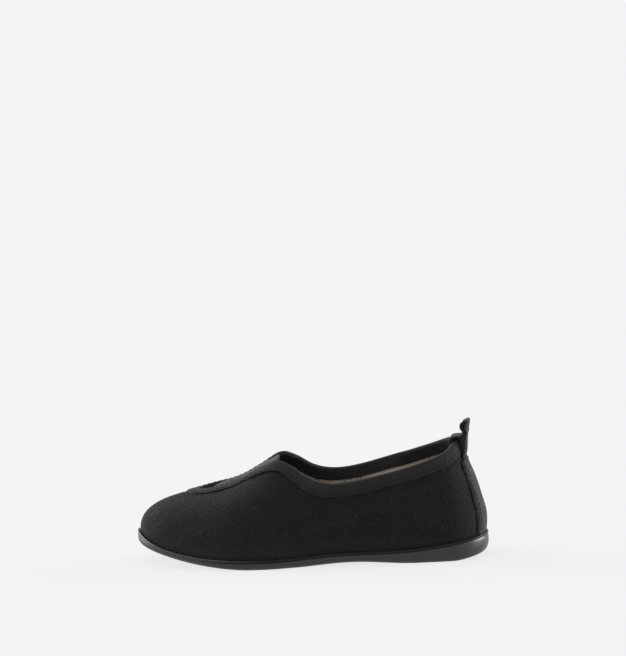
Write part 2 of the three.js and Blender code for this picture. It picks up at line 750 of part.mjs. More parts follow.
// Row of three points across the heel: one on the skin, or one at a place in the middle plane.
const rowOnSkin = (depth, offset) =>
  [-loopRib, 0, loopRib].map((index) => skin(index, depth, offset));
const rowAcross = (x, z) => [1, 0, -1].map((side) => new THREE.Vector3(x, side * loopWidth / 2, z));

// The outer leg is sewn down between the binding and the backstay and stands clear above that.
function outerLeg() {
  const overBinding = gap + tapeThickness + threadThickness + 2 * seat;
  const end = { x: hinge.x + hubRadius, z: hinge.z - hubRadius - seat };
  const places = [[tapeInnerWidth, overBinding], [0.85 * stayDrop, seat], [stayDrop - seat, seat]];
  const rows = (lift) => places.map(([depth, offset]) => rowOnSkin(depth, offset + lift));
  return sheet(
    [rowAcross(end.x, end.z), ...rows(loopThickness)],
    [rowAcross(end.x - loopThickness, end.z), ...rows(0)],
  );
}

// The inner leg leaves the loop's foot, crosses the topline and is sewn to the binding inside.
function innerLeg() {
  const near = innerTapeTop - tapeThickness - seat;
  const fold = tapeFold + gap;
  const crest = fold + 0.3 * tapeThickness + seat + gap;
  const end = { x: hinge.x - hubRadius - seat, z: rimTop.z + seat };
  const over = [
    rowOnSkin(tapeInnerWidth, near - loopThickness),
    rowOnSkin(0, near - loopThickness),
    rowOnSkin(-crest, near - 0.7 * loopThickness),
    rowOnSkin(-crest - 0.8 * loopThickness, innerTapeTop),
    rowAcross(end.x, end.z + loopThickness),
  ];
  const under = [
    rowOnSkin(tapeInnerWidth, near),
    rowOnSkin(0, near),
    rowOnSkin(-fold, near),
    rowOnSkin(-crest, innerTapeTop),
    rowAcross(end.x, end.z),
  ];
  return sheet(over, under);
}

// ---------------------------------------------------------------- stitching

function seam(path, offset, closed = false) {
  const points = path.map(([index, depth]) => skin(index, depth, offset));
  const normals = path.map(([index, depth], n) =>
    skin(index, depth, offset + 1).sub(points[n]).normalize());
  return thread(points, normals, closed);
}

const tapeSeamLift = gap + tapeThickness + seat + threadThickness / 2;
const staySeamLift = 2 * seat + stayThickness + threadThickness / 2;

const bindingStitch = () =>
  seam(columns.map((c) => [c, tapeOuterWidth - stitchInset]), tapeSeamLift, true);

function goreStitch() {
  const path = [];
  for (let k = throatRib + 0.25; k <= turn - throatRib - 0.25; k += 0.25) path.push([k, stitchInset]);
  return seam(path, tapeSeamLift);
}

function backstayStitch(side) {
  const path = [0, 0.2, 0.4, 0.6, 0.8, 1].map((share) => {
    const depth = THREE.MathUtils.lerp(stayDrop + stitchInset, stayEnd(0) - 2 * stitchInset, share);
    return [side * ribBeside(stayHalf(depth) - stitchInset, depth), depth];
  });
  return seam(path, staySeamLift);
}

function loopTackStitch() {
  const depth = stayDrop + stitchInset;
  const half = loopWidth / 2 - stitchInset;
  const path = [-1, -0.5, 0, 0.5, 1].map((side) => [side * ribBeside(half, depth), depth]);
  return seam(path, staySeamLift);
}

// ---------------------------------------------------------------- assembly

const finish = (colour, roughness, metalness = 0) =>
  new THREE.MeshStandardMaterial({ color: colour, roughness, metalness });
const materials = {
  rubber: finish(0x1c1c1c, 0.55),
  filler: finish(0x8a8378, 0.9),
  board: finish(0xb9a98a, 0.9),
  foam: finish(0xd8d2c4, 0.95),
  sock: finish(0xb8ae98, 0.95),
  canvas: finish(0x141415, 0.95),
  lining: finish(0xb8ae98, 0.95),
  stiffener: finish(0xcfcabd, 0.8),
  tape: finish(0x19191a, 0.85),
  elastic: finish(0x1a1a1b, 0.8),
  thread: finish(0x101011, 0.7),
};

const shoe = new THREE.Group();
function add(name, geometry, material, parent = shoe) {
  const mesh = new THREE.Mesh(geometry, material);
  mesh.name = name;
  parent.add(mesh);
  return mesh;
}

add('outsole', outsole(), materials.rubber);
add('heel_wedge', heelWedge(), materials.filler);
add('insole_board', insoleBoard(), materials.board);
add('footbed_foam', footbedFoam(), materials.foam);
add('sock_liner', sockLiner(), materials.sock);
add('upper_canvas', upperCanvas(), materials.canvas);
add('upper_lining', upperLining(), materials.lining);
add('heel_counter', heelCounter(), materials.stiffener);
add('toe_puff', toePuff(), materials.stiffener);
add('topline_binding', toplineBinding(), materials.tape);
add('elastic_gore', elasticGore(), materials.elastic);
add('backstay', backstay(), materials.canvas);
add('inner_seam_tape', innerSeamTape(), materials.tape);
add('pull_loop_outer_leg', outerLeg(), materials.tape);
add('pull_loop_inner_leg', innerLeg(), materials.tape);
add('binding_stitch', bindingStitch(), materials.thread);
add('gore_stitch', goreStitch(), materials.thread);
add('backstay_stitch_outer', backstayStitch(1), materials.thread);
add('backstay_stitch_inner', backstayStitch(-1), materials.thread);
add('loop_tack_stitch', loopTackStitch(), materials.thread);

const loopHinge = new THREE.Group();
loopHinge.position.copy(hinge);
loopHinge.rotation.y = THREE.MathUtils.degToRad(loopLean);
shoe.add(loopHinge);
add('pull_loop', pullLoop(), materials.tape, loopHinge);

// The footprint's middle goes to the origin.
const box = new THREE.Box3().setFromObject(shoe);
shoe.position.set(-(box.min.x + box.max.x) / 2, -(box.min.y + box.max.y) / 2, -box.min.z);

export default shoe;
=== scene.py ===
import json
import math

import bmesh
import bpy
import numpy as np
from mathutils import Matrix, Vector


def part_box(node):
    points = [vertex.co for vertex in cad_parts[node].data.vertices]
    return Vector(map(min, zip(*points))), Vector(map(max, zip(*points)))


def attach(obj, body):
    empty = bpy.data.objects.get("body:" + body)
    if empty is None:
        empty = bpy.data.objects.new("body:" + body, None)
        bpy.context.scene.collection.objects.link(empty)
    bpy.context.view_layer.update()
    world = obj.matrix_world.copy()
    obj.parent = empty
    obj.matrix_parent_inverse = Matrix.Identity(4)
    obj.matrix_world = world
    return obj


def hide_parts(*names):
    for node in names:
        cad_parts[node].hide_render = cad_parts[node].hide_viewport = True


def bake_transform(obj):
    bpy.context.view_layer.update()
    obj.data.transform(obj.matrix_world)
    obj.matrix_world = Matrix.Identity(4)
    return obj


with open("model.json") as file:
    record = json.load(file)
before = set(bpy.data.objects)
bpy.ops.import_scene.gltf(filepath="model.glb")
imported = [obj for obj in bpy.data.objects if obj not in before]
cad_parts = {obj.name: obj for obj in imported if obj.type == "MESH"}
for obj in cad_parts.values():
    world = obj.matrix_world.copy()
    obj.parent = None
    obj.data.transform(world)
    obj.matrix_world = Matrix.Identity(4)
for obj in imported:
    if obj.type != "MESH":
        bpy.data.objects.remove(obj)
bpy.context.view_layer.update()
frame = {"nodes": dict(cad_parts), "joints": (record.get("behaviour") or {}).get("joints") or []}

# Looks of a child's canvas ballet slipper. The toe points towards -X, the outer side of the foot faces -Y.
# Lengths are in millimetres until a mesh is made. Every sewn layer follows one surface, the canvas's outer
# face, which is the same set of ribs as the CAD's: skin(ribs, depth, offset) gives points on it.

MM = 0.001
TAU = 2 * math.pi

# ---- sizes


def node_box(name):
    """Lowest and highest corner of a CAD node, in millimetres."""
    low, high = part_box(name)
    return np.array(low) / MM, np.array(high) / MM


SOLE_LOW, SOLE_HIGH = node_box("outsole")
SHOE_LENGTH = round(SOLE_HIGH[0] - SOLE_LOW[0])
BALL_WIDTH = 62
WAIST_WIDTH = 46
HEEL_WIDTH = 45.5

HEEL_HEIGHT = 54.5
SIDE_HEIGHT = 38.1
THROAT_HEIGHT = 48
SLOT_END_HEIGHT = 33.8
SLOT_WIDTH = 24
OPENING_WIDTH = 44

TOE_SPRING = 9.6
HEEL_SPRING = 2.4
ARCH_HEIGHT = 1.3
RIM_LIP = 1.2
RIM_WALL = 1.7
CANVAS = 0.7
LINING = 0.5
TAPE = 0.6
STAY = 0.8
GORE = 0.9
GAP = 0.15
SEAT = 0.3
TAPE_OUTER = 5.5
TAPE_INNER = 5
TAPE_FOLD = 0.8
STITCH_INSET = 1.2
LASTING = 8
STAY_TOP = 15
STAY_BOTTOM = 22
STAY_DROP = 9
COUNTER = 1.2
PUFF = 0.8
LOOP_WIDTH = 10
STAY_FOOT = RIM_LIP + 3 * SEAT

# ---- sole outline and heights

HEEL_HALF = HEEL_WIDTH / 2
WAIST_HALF = WAIST_WIDTH / 2
BALL_HALF = BALL_WIDTH / 2
OUTLINE = [
    (0, 0),
    (0.018, -0.5 * HEEL_HALF),
    (0.073, -0.86 * HEEL_HALF),
    (0.17, -HEEL_HALF),
    (0.31, -1.03 * WAIST_HALF),
    (0.47, -0.45 * (WAIST_HALF + BALL_HALF)),
    (0.62, -BALL_HALF),
    (0.74, -0.965 * BALL_HALF),
    (0.86, -0.745 * BALL_HALF),
    (0.952, -0.42 * BALL_HALF),
    (0.988, -0.16 * BALL_HALF),
    (1, 0.13 * BALL_HALF),
    (0.991, 0.38 * BALL_HALF),
    (0.963, 0.6 * BALL_HALF),
    (0.9, 0.83 * BALL_HALF),
    (0.79, 0.985 * BALL_HALF),
    (0.68, BALL_HALF),
    (0.55, 0.46 * (WAIST_HALF + BALL_HALF)),
    (0.4, 0.94 * WAIST_HALF),
    (0.26, 0.95 * WAIST_HALF),
    (0.15, 0.985 * HEEL_HALF),
    (0.066, 0.83 * HEEL_HALF),
    (0.016, 0.47 * HEEL_HALF),
]
TOE_TIP = 11  # index of the toe's point in that list


def along(share):
    return SHOE_LENGTH * (0.5 - np.asarray(share, float))


def share_at(x):
    return 0.5 - np.asarray(x, float) / SHOE_LENGTH


def unit(vectors):
    return vectors / np.linalg.norm(vectors, axis=-1, keepdims=True)


def bezier(start, leave, arrive, end, t):
    """Point at t on a cubic curve with two handles."""
    return (
        start * (1 - t) ** 3 + leave * 3 * t * (1 - t) ** 2
        + arrive * 3 * t * t * (1 - t) + end * t**3
    )


def catmull_rom(p, q, r, s, t):
    """Point at t between q and r on a curve through p, q, r and s."""
    return q + 0.5 * t * (r - p + t * (2 * p - 5 * q + 4 * r - s + t * (3 * (q - r) + s - p)))


def hill(x, middle, width):
    """Smooth bump, 1 at its middle."""
    return np.exp(-((x - middle) / width) ** 2)


def closed_curve(points, steps):
    """Centripetal Catmull-Rom curve through a closed list of points."""
    count = len(points)
    out = []
    for k in range(count):
        p0, p1, p2, p3 = (points[(k + step) % count] for step in (-1, 0, 1, 2))
        d0, d1, d2 = (np.linalg.norm(q - p) ** 0.5 for p, q in ((p0, p1), (p1, p2), (p2, p3)))
        start = ((p1 - p0) / d0 - (p2 - p0) / (d0 + d1) + (p2 - p1) / d1) * d1
        end = ((p2 - p1) / d1 - (p3 - p1) / (d1 + d2) + (p3 - p2) / d2) * d1
        t = np.linspace(0, 1, steps, endpoint=False)[:, None]
        square, cube = t * t, t**3
        out.append(
            p1 + start * t + (3 * (p2 - p1) - 2 * start - end) * square
            + (2 * (p1 - p2) + start + end) * cube
        )
    return np.vstack(out)


CURVE_STEPS = 200
EDGE = closed_curve(np.array([(along(share), y) for share, y in OUTLINE]), CURVE_STEPS)
EDGE = np.vstack([EDGE, EDGE[:1]])
EDGE_ARC = np.concatenate([[0], np.cumsum(np.linalg.norm(np.diff(EDGE, axis=0), axis=1))])
EDGE_ARC /= EDGE_ARC[-1]
TOE_ARC = EDGE_ARC[CURVE_STEPS * TOE_TIP]
SHIFT = np.append((SOLE_LOW + SOLE_HIGH)[:2] / 2 - (EDGE.min(0) + EDGE.max(0)) / 2, 0)


def profile(points):
    """y(x) through a list of points in x order, with a smooth slope."""
    xs, ys = np.array(points, float).T
    slope = np.empty_like(ys)
    slope[1:-1] = (ys[2:] - ys[:-2]) / (xs[2:] - xs[:-2])
    slope[0] = (ys[1] - ys[0]) / (xs[1] - xs[0])
    slope[-1] = (ys[-1] - ys[-2]) / (xs[-1] - xs[-2])

    def at(x):
        x = np.asarray(x, float)
        k = np.clip(np.searchsorted(xs, x, side="right") - 1, 0, len(xs) - 2)
        width = xs[k + 1] - xs[k]
        t = np.clip((x - xs[k]) / width, 0, 1)
        rise = t * t * (3 - 2 * t)
        bend = width * t * (1 - t) * ((1 - t) * slope[k] - t * slope[k + 1])
        return ys[k] + (ys[k + 1] - ys[k]) * rise + bend

    return at


HEEL_FLAT_START = 0.085
HEEL_FLAT_END = 0.2
BALL_FLAT_START = 0.54
BALL_FLAT_END = 0.66


def ground_height(share):
    share = np.asarray(share, float)
    toe = np.clip((share - BALL_FLAT_END) / (1 - BALL_FLAT_END), 0, 1)
    arch = np.clip((share - HEEL_FLAT_END) / (BALL_FLAT_START - HEEL_FLAT_END), 0, 1)
    heel = np.clip(1 - share / HEEL_FLAT_START, 0, 1)
    return TOE_SPRING * toe**1.8 + HEEL_SPRING * heel**1.3 + ARCH_HEIGHT * np.sin(np.pi * arch) ** 2


rim_height = profile([
    (0, 11.2),
    (0.05, 10),
    (0.125, 8.1),
    (0.24, 6.4),
    (0.4, 5.9),
    (0.52, 4.9),
    (0.67, 4.6),
    (0.8, 5.7),
    (0.9, 8.4),
    (0.96, 12),
    (1, 16),
])


def floor_height(share):
    return rim_height(share) - RIM_LIP


# ---- ribs of the upper

OPEN_HALF = OPENING_WIDTH / 2
SLOT_HALF = SLOT_WIDTH / 2


def lerp(low, high, share):
    return low + (high - low) * share


def heel_rise(share):
    return lerp(SIDE_HEIGHT, HEEL_HEIGHT, share)


def throat_rise(share):
    return lerp(SIDE_HEIGHT, THROAT_HEIGHT, share)


def slot_rise(share):
    return lerp(SLOT_END_HEIGHT, THROAT_HEIGHT, share)


# edge share, [length share, half width, height] of the topline, tilt, [out, up, out, down] of the handles
KEY_RIBS = [
    (0, (0.078, 0, HEEL_HEIGHT), 0, (4, 11.5, 4.6, 12.5)),
    (0.11, (0.103, 0.53 * OPEN_HALF, heel_rise(0.823)), 1.4, (3.3, 11, 4, 12)),
    (0.2, (0.17, 0.78 * OPEN_HALF, heel_rise(0.567)), 1.6, (2.5, 10.5, 3, 12)),
    (0.3, (0.273, 0.94 * OPEN_HALF, heel_rise(0.28)), 1.1, (2, 10, 2.2, 11)),
    (0.394, (0.376, OPEN_HALF, heel_rise(0.043)), 0.6, (2, 10, 2.4, 11)),
    (0.462, (0.442, 0.975 * OPEN_HALF, SIDE_HEIGHT), 0.4, (2, 10.5, 3.4, 11)),
    (0.52, (0.497, 0.83 * OPEN_HALF, throat_rise(0.242)), 0.4, (2, 11, 6, 10.5)),
    (0.568, (0.548, SLOT_HALF + 2.4, throat_rise(0.798)), 0.4, (2, 12, 9.5, 8.5)),
    (0.61, (0.588, SLOT_HALF, THROAT_HEIGHT), 0.3, (1.9, 13, 12, 6.6)),
    (0.656, (0.636, SLOT_HALF - 1.7, slot_rise(0.718)), -0.3, (1.8, 13, 14, 5.2)),
    (0.724, (0.703, SLOT_HALF - 3.6, slot_rise(0.313)), -0.25, (1.9, 13, 15, 3.8)),
    (0.802, (0.77, SLOT_HALF - 6, slot_rise(0.106)), 0.2, (2.2, 12.4, 16, 3.4)),
    (0.885, (0.809, SLOT_HALF - 8.9, slot_rise(0.014)), 0.1, (2.9, 10.6, 17.5, 3)),
    (1, (0.821, 0, SLOT_END_HEIGHT), 0, (3.6, 10, 19, 2.6)),
]
SIDE_KEYS = len(KEY_RIBS) - 1
TURN = 2 * SIDE_KEYS
THROAT_RIB = 8
TOE_SET = 2.2


def smoothstep(x, low, high):
    t = np.clip((np.asarray(x, float) - low) / (high - low), 0, 1)
    return t * t * (3 - 2 * t)


def key_row(index):
    """Arc share, topline point and handles of one key rib, as one row of 8 numbers."""
    k = index % TURN
    inner = k > SIDE_KEYS
    edge, (share, half, height), tilt, wall = KEY_RIBS[TURN - k if inner else k]
    side = 1 if inner else -1
    arc = (1 - edge * (1 - TOE_ARC) if inner else edge * TOE_ARC) + index // TURN
    centre = TOE_SET * smoothstep(share, 0.35, 0.82)
    return [arc, float(along(share)), centre + side * half, height + side * tilt, *wall]


KEY_START = -4
KEY_TABLE = np.array([key_row(k) for k in range(KEY_START, TURN + 6)])


def between(index):
    """Catmull-Rom between key ribs."""
    index = np.asarray(index, float)
    k = np.floor(index).astype(int)
    t = (index - k)[:, None]
    p, q, r, s = (KEY_TABLE[k + step - KEY_START] for step in (-1, 0, 1, 2))
    return catmull_rom(p, q, r, s, t)


def edge_point(arc, inset):
    """Point of the sole's outline, moved inwards, with z = 0."""
    u = np.mod(arc, 1)
    step = 1e-3
    here, ahead, behind = (
        np.stack([np.interp(np.mod(v, 1), EDGE_ARC, EDGE[:, axis]) for axis in (0, 1)], -1)
        for v in (u, u + step, u - step)
    )
    tangent = unit(ahead - behind)
    inward = np.stack([tangent[..., 1], -tangent[..., 0]], -1)
    spot = here + inward * np.asarray(inset, float)[..., None]
    return np.concatenate([spot, np.zeros(spot.shape[:-1] + (1,))], -1)


def floor_point(arc, inset):
    """Point just above the sole's floor, at an inset from its edge."""
    spot = edge_point(arc, inset)
    spot[:, 2] = floor_height(share_at(spot[:, 0])) + GAP
    return spot


FOOT_INSET = RIM_WALL + 2 * SEAT
RIB_STEPS = 90
LASTED = (0.25, 0.5, 1)  # shares of the lasting margin where a rib has points under the foot
UP = np.array([0, 0, 1.0])


class Ribs:
    """Ribs at an array of indices, as polylines from the topline down and in under the foot."""

    def __init__(self, index):
        keys = between(index)
        arc, top, wall = keys[:, 0], keys[:, 1:4], keys[:, 4:8]
        foot = floor_point(arc, FOOT_INSET)
        out = edge_point(arc, 0) - edge_point(arc, 1)
        away = foot - top
        away[:, 2] = 0
        away = unit(away)
        leave = top + away * wall[:, 2:3] - UP * wall[:, 3:4]
        arrive = foot + out * wall[:, 0:1] + UP * wall[:, 1:2]
        t = np.linspace(0, 1, RIB_STEPS)[None, :, None]
        curve = bezier(top[:, None], leave[:, None], arrive[:, None], foot[:, None], t)
        under = [floor_point(arc, FOOT_INSET + share * LASTING)[:, None] for share in LASTED]
        self.points = np.concatenate([curve] + under, 1) + SHIFT
        steps = np.linalg.norm(np.diff(self.points, axis=1), axis=2)
        self.lengths = np.concatenate([np.zeros((len(arc), 1)), np.cumsum(steps, 1)], 1)
        self.wall = self.lengths[:, RIB_STEPS - 1]

    def at(self, depth):
        """Points at depths below the topline, a row for each rib. Above the topline it runs on."""
        out = np.empty(depth.shape + (3,))
        for n in range(len(depth)):
            for axis in range(3):
                out[n, :, axis] = np.interp(depth[n], self.lengths[n], self.points[n, :, axis])
        rise = unit(self.points[:, 0] - self.points[:, 1])
        over = np.clip(-depth, 0, None)
        return out + rise[:, None] * over[..., None]


def rows_for(index, depth):
    """Depths as an array with one row for each index."""
    depth = np.asarray(depth, float)
    return np.broadcast_to(depth, (len(index), depth.shape[-1])) if depth.ndim < 2 else depth


SLOPE_TURN = 0.05  # how far apart the skin's slope is read, in ribs and in millimetres of depth
SLOPE_STEP = 0.6


def skin(index, depth, offset=0.0):
    """Points at an offset from the canvas's outer face, for each index (rows) and depth (columns)."""
    index = np.asarray(index, float)
    depth = rows_for(index, depth)
    middle = Ribs(index)
    ahead, behind = (Ribs(index + turn).at(depth) for turn in (SLOPE_TURN, -SLOPE_TURN))
    low, high = (middle.at(depth + step) for step in (SLOPE_STEP, -SLOPE_STEP))
    normal = unit(np.cross(low - high, ahead - behind))
    return middle.at(depth) - normal * np.broadcast_to(offset, depth.shape)[..., None]


def wall_length(index):
    return Ribs(np.asarray(index, float)).wall


def arc_lengths(points, closed=False):
    """Running length along a list of points."""
    ring = np.vstack([points, points[:1]]) if closed else points
    return np.concatenate([[0], np.cumsum(np.linalg.norm(np.diff(ring, axis=0), axis=1))])


def even_indices(depth, spacing, start=0.0, end=float(TURN)):
    """Rib indices that lie an even distance apart at a depth."""
    fine = np.linspace(start, end, 1200)
    length = arc_lengths(skin(fine, [depth])[:, 0])
    count = max(2, int(round(length[-1] / spacing)))
    return np.interp(np.linspace(0, length[-1], count + 1), length, fine)


def ribs_beside(distance, depth):
    """Rib indices at distances to one side of the back seam."""
    step = skin([0.0, 0.3], [depth])[:, 0]
    return np.asarray(distance, float) * 0.3 / np.linalg.norm(step[1] - step[0])


RIPPLE_WAVES = 9


def ripple(points, wavelength, seed):
    """Smooth noise about -1 to 1, from a few sine waves in random directions."""
    rng = np.random.default_rng(seed)
    total = np.zeros(points.shape[:-1])
    for _ in range(RIPPLE_WAVES):
        way = rng.normal(size=3)
        way /= np.linalg.norm(way)
        length = wavelength * rng.uniform(0.7, 1.5)
        total += np.sin(points @ way * TAU / length + rng.uniform(0, TAU))
    return total / math.sqrt(RIPPLE_WAVES)


# ---- mesh building


def make_mesh(name, points, faces, uvs, material):
    """Mesh object from points in millimetres, faces of point numbers and a UV pair for each corner."""
    mesh = bpy.data.meshes.new(name)
    mesh.from_pydata((np.asarray(points) * MM).tolist(), [], faces)
    layer = mesh.uv_layers.new(name="cloth_mm")
    layer.data.foreach_set("uv", np.concatenate([np.asarray(uv, float).ravel() for uv in uvs]))
    work = bmesh.new()
    work.from_mesh(mesh)
    bmesh.ops.recalc_face_normals(work, faces=work.faces)
    work.to_mesh(mesh)
    work.free()
    mesh.shade_smooth()
    mesh.materials.append(material)
    made = bpy.data.objects.new(name, mesh)
    bpy.context.scene.collection.objects.link(made)
    return made


def shell(name, over, under, uv, material, closed=False):
    """Closed sheet between two grids of points. In a ring, uv has one column more than the points."""
    rows, columns = over.shape[:2]
    steps = columns if closed else columns - 1
    points = np.concatenate([over.reshape(-1, 3), under.reshape(-1, 3)])
    base = rows * columns
    faces, uvs = [], []

    def corner(layer, r, c):
        return layer * base + r * columns + c % columns

    def face(*corners):
        faces.append([corner(*k) for k in corners])
        uvs.append([uv[r, c] for _, r, c in corners])

    for c in range(steps):
        for r in range(rows - 1):
            face((0, r, c), (0, r, c + 1), (0, r + 1, c + 1), (0, r + 1, c))
            face((1, r, c), (1, r + 1, c), (1, r + 1, c + 1), (1, r, c + 1))
        for r in (0, rows - 1):
            face((0, r, c), (1, r, c), (1, r, c + 1), (0, r, c + 1))
    if not closed:
        for c in (0, columns - 1):
            for r in range(rows - 1):
                face((0, r, c), (1, r, c), (1, r + 1, c), (0, r + 1, c))
    return make_mesh(name, points, faces, uvs, material)


def tube_faces(rings, uv_along, uv_round, closed=False, base=0):
    """Faces between successive rings of points, numbered from base, and their UVs."""
    stations, count = rings.shape[:2]
    faces, uvs = [], []
    for n in range(stations if closed else stations - 1):
        for k in range(count):
            m, j = (n + 1) % stations, (k + 1) % count
            corners = (n * count + k, n * count + j, m * count + j, m * count + k)
            faces.append([base + corner for corner in corners])
            uvs.append([
                (uv_along[n], uv_round[k]),
                (uv_along[n], uv_round[k + 1]),
                (uv_along[n + 1], uv_round[k + 1]),
                (uv_along[n + 1], uv_round[k]),
            ])
    return faces, uvs


def sweep(name, rings, uv_along, uv_round, material, closed=False):
    """Solid through closed rings of points, rings[station][point], with filled ends unless it is a ring."""
    stations, count = rings.shape[:2]
    faces, uvs = tube_faces(rings, uv_along, uv_round, closed)
    if not closed:
        for n in (0, stations - 1):
            half = count // 2
            for k in range(half):
                corners = [n * count + j for j in (k, k + 1, count - k - 2, count - k - 1)]
                corners = list(dict.fromkeys(corners))
                if len(corners) > 2:
                    faces.append(corners)
                    uvs.append([(uv_along[n], uv_round[c % count]) for c in corners])
    return make_mesh(name, rings.reshape(-1, 3), faces, uvs, material)


def uv_grid(u, v):
    """UVs of a grid, from rows or columns of distances."""
    return np.stack(np.broadcast_arrays(u, v), -1)


def frames_along(points, ups):
    """Unit tangent, side and up at each point of a path, with up kept close to the given directions."""
    tangent = unit(np.gradient(points, axis=0))
    side = unit(np.cross(tangent, ups))
    return tangent, side, np.cross(side, tangent)


# ---- procedural materials


GORE_RIB = 1.05
PRINT_SPACING = 4.6
CANVAS_PITCH = 0.92
STAY_PITCH = 0.8
LINING_PITCH = 0.42
YARN_LIFT = 0.45
WEFT_HEIGHT = 0.78
# Painted floor light on the cloth: it is lighter from this height down to the sole.
FLOOR_LIGHT_START = 5.0
FLOOR_LIGHT_HEIGHT = 15.0
SOLE_GLOSS = 0.5
LIP_GLOSS = 0.14
LIP_DULLS = (float(along(0.82)), float(along(0.62)))  # the lip turns dull between these places


class Nodes:
    """A short way to write a material's node tree."""

    def __init__(self, name):
        self.material = bpy.data.materials.new(name)
        self.material.use_nodes = True
        self.tree = self.material.node_tree
        self.shader = self.tree.nodes["Principled BSDF"]

    def node(self, kind, **settings):
        made = self.tree.nodes.new(kind)
        for key, value in settings.items():
            setattr(made, key, value)
        return made

    def feed(self, socket, value):
        if isinstance(value, bpy.types.NodeSocket):
            self.tree.links.new(value, socket)
        else:
            socket.default_value = value

    def math(self, operation, *values):
        made = self.node("ShaderNodeMath", operation=operation)
        for socket, value in zip(made.inputs, values):
            self.feed(socket, value)
        return made.outputs[0]

    def add(self, one, other):
        return self.math("ADD", one, other)

    def times(self, one, other):
        return self.math("MULTIPLY", one, other)

    def axes(self, vector):
        """The three parts of a vector."""
        made = self.node("ShaderNodeSeparateXYZ")
        self.feed(made.inputs[0], vector)
        return made.outputs

    def remap(self, value, low, high, to_low=0.0, to_high=1.0):
        made = self.node("ShaderNodeMapRange", interpolation_type="SMOOTHSTEP")
        for socket, number in zip(made.inputs, (value, low, high, to_low, to_high)):
            self.feed(socket, number)
        return made.outputs[0]

    def mix(self, factor, one, other):
        made = self.node("ShaderNodeMix", data_type="RGBA")
        self.feed(made.inputs[0], factor)
        self.feed(made.inputs[6], one)
        self.feed(made.inputs[7], other)
        return made.outputs[2]

    def noise(self, vector, scale, detail=2.0, rough=0.5):
        made = self.node("ShaderNodeTexNoise")
        self.feed(made.inputs["Vector"], vector)
        self.feed(made.inputs["Scale"], scale)
        self.feed(made.inputs["Detail"], detail)
        self.feed(made.inputs["Roughness"], rough)
        return made.outputs[0]

    def cloth_coordinates(self):
        """U and V in millimetres, and the same as one vector."""
        vector = self.node("ShaderNodeUVMap", uv_map="cloth_mm").outputs[0]
        u, v, _ = self.axes(vector)
        return u, v, vector

    def place(self):
        """Position on the object, in millimetres."""
        scaled = self.node("ShaderNodeVectorMath", operation="SCALE")
        self.feed(scaled.inputs[0], self.node("ShaderNodeTexCoord").outputs["Object"])
        scaled.inputs["Scale"].default_value = 1 / MM
        return scaled.outputs[0]

    def bump(self, height, depth_mm, strength=1.0, normal=None):
        made = self.node("ShaderNodeBump")
        made.inputs["Strength"].default_value = strength
        made.inputs["Distance"].default_value = depth_mm * MM
        self.feed(made.inputs["Height"], height)
        if normal is not None:
            self.feed(made.inputs["Normal"], normal)
        return made.outputs[0]

    def finish(self, colour, rough, normal=None, **constants):
        self.feed(self.shader.inputs["Base Color"], colour)
        self.feed(self.shader.inputs["Roughness"], rough)
        if normal is not None:
            self.feed(self.shader.inputs["Normal"], normal)
        for key, value in constants.items():
            self.feed(self.shader.inputs[key.replace("_", " ")], value)
        return self.material


def grey(level, warmth=0.0):
    return (level * (1 + warmth), level, level * (1 - warmth), 1)


def wobble(nodes, coordinate, vector, amount, scale):
    """A coordinate that wanders a little, as yarns do."""
    noise = nodes.noise(vector, scale, 2)
    return nodes.add(coordinate, nodes.times(nodes.math("SUBTRACT", noise, 0.5), amount))


def yarn_section(nodes, coordinate):
    """Round top of the yarn under a coordinate counted in yarns, 0 at its edges."""
    centred = nodes.math("SUBTRACT", nodes.math("FRACT", coordinate), 0.5)
    square = nodes.times(nodes.times(centred, centred), 4.0)
    return nodes.math("SQRT", nodes.math("MAXIMUM", nodes.math("SUBTRACT", 1.0, square), 0.0))


def plain_weave(nodes, pitch, wander=0.12):
    """Height of a plain weave from 0 to 1: each yarn goes over one and under the next."""
    u, v, vector = nodes.cloth_coordinates()
    a = nodes.math("DIVIDE", wobble(nodes, u, vector, wander, 0.35), pitch)
    b = nodes.math("DIVIDE", wobble(nodes, v, vector, wander, 0.31), pitch)

    def yarn(across, length, sign):
        phase = nodes.add(length, nodes.math("FLOOR", across))
        wave = nodes.math("SINE", nodes.times(phase, math.pi))
        level = nodes.add(nodes.times(wave, sign * YARN_LIFT), 1 - YARN_LIFT)
        return nodes.times(yarn_section(nodes, across), level)

    return nodes.math("MAXIMUM", yarn(a, b, 1), nodes.times(yarn(b, a, -1), WEFT_HEIGHT))


def lint(nodes, spacing, size):
    """Sparse small fibres caught on the cloth, 1 on a fibre."""
    cells = nodes.node("ShaderNodeTexVoronoi", feature="F1")
    nodes.feed(cells.inputs["Vector"], nodes.place())
    cells.inputs["Scale"].default_value = 1 / spacing
    cells.inputs["Randomness"].default_value = 1.0
    near = nodes.remap(cells.outputs["Distance"], size / spacing * 0.4, size / spacing, 1.0, 0.0)
    some = nodes.remap(nodes.noise(nodes.place(), 0.11, 1), 0.5, 0.62)
    return nodes.times(near, some)


def painted_floor_light(nodes):
    """1 on the low part of the upper, where painted light from the bright floor lightens the cloth, and 0
    above it.
    """
    return nodes.remap(nodes.axes(nodes.place())[2], FLOOR_LIGHT_START, FLOOR_LIGHT_HEIGHT, 1.0, 0.0)


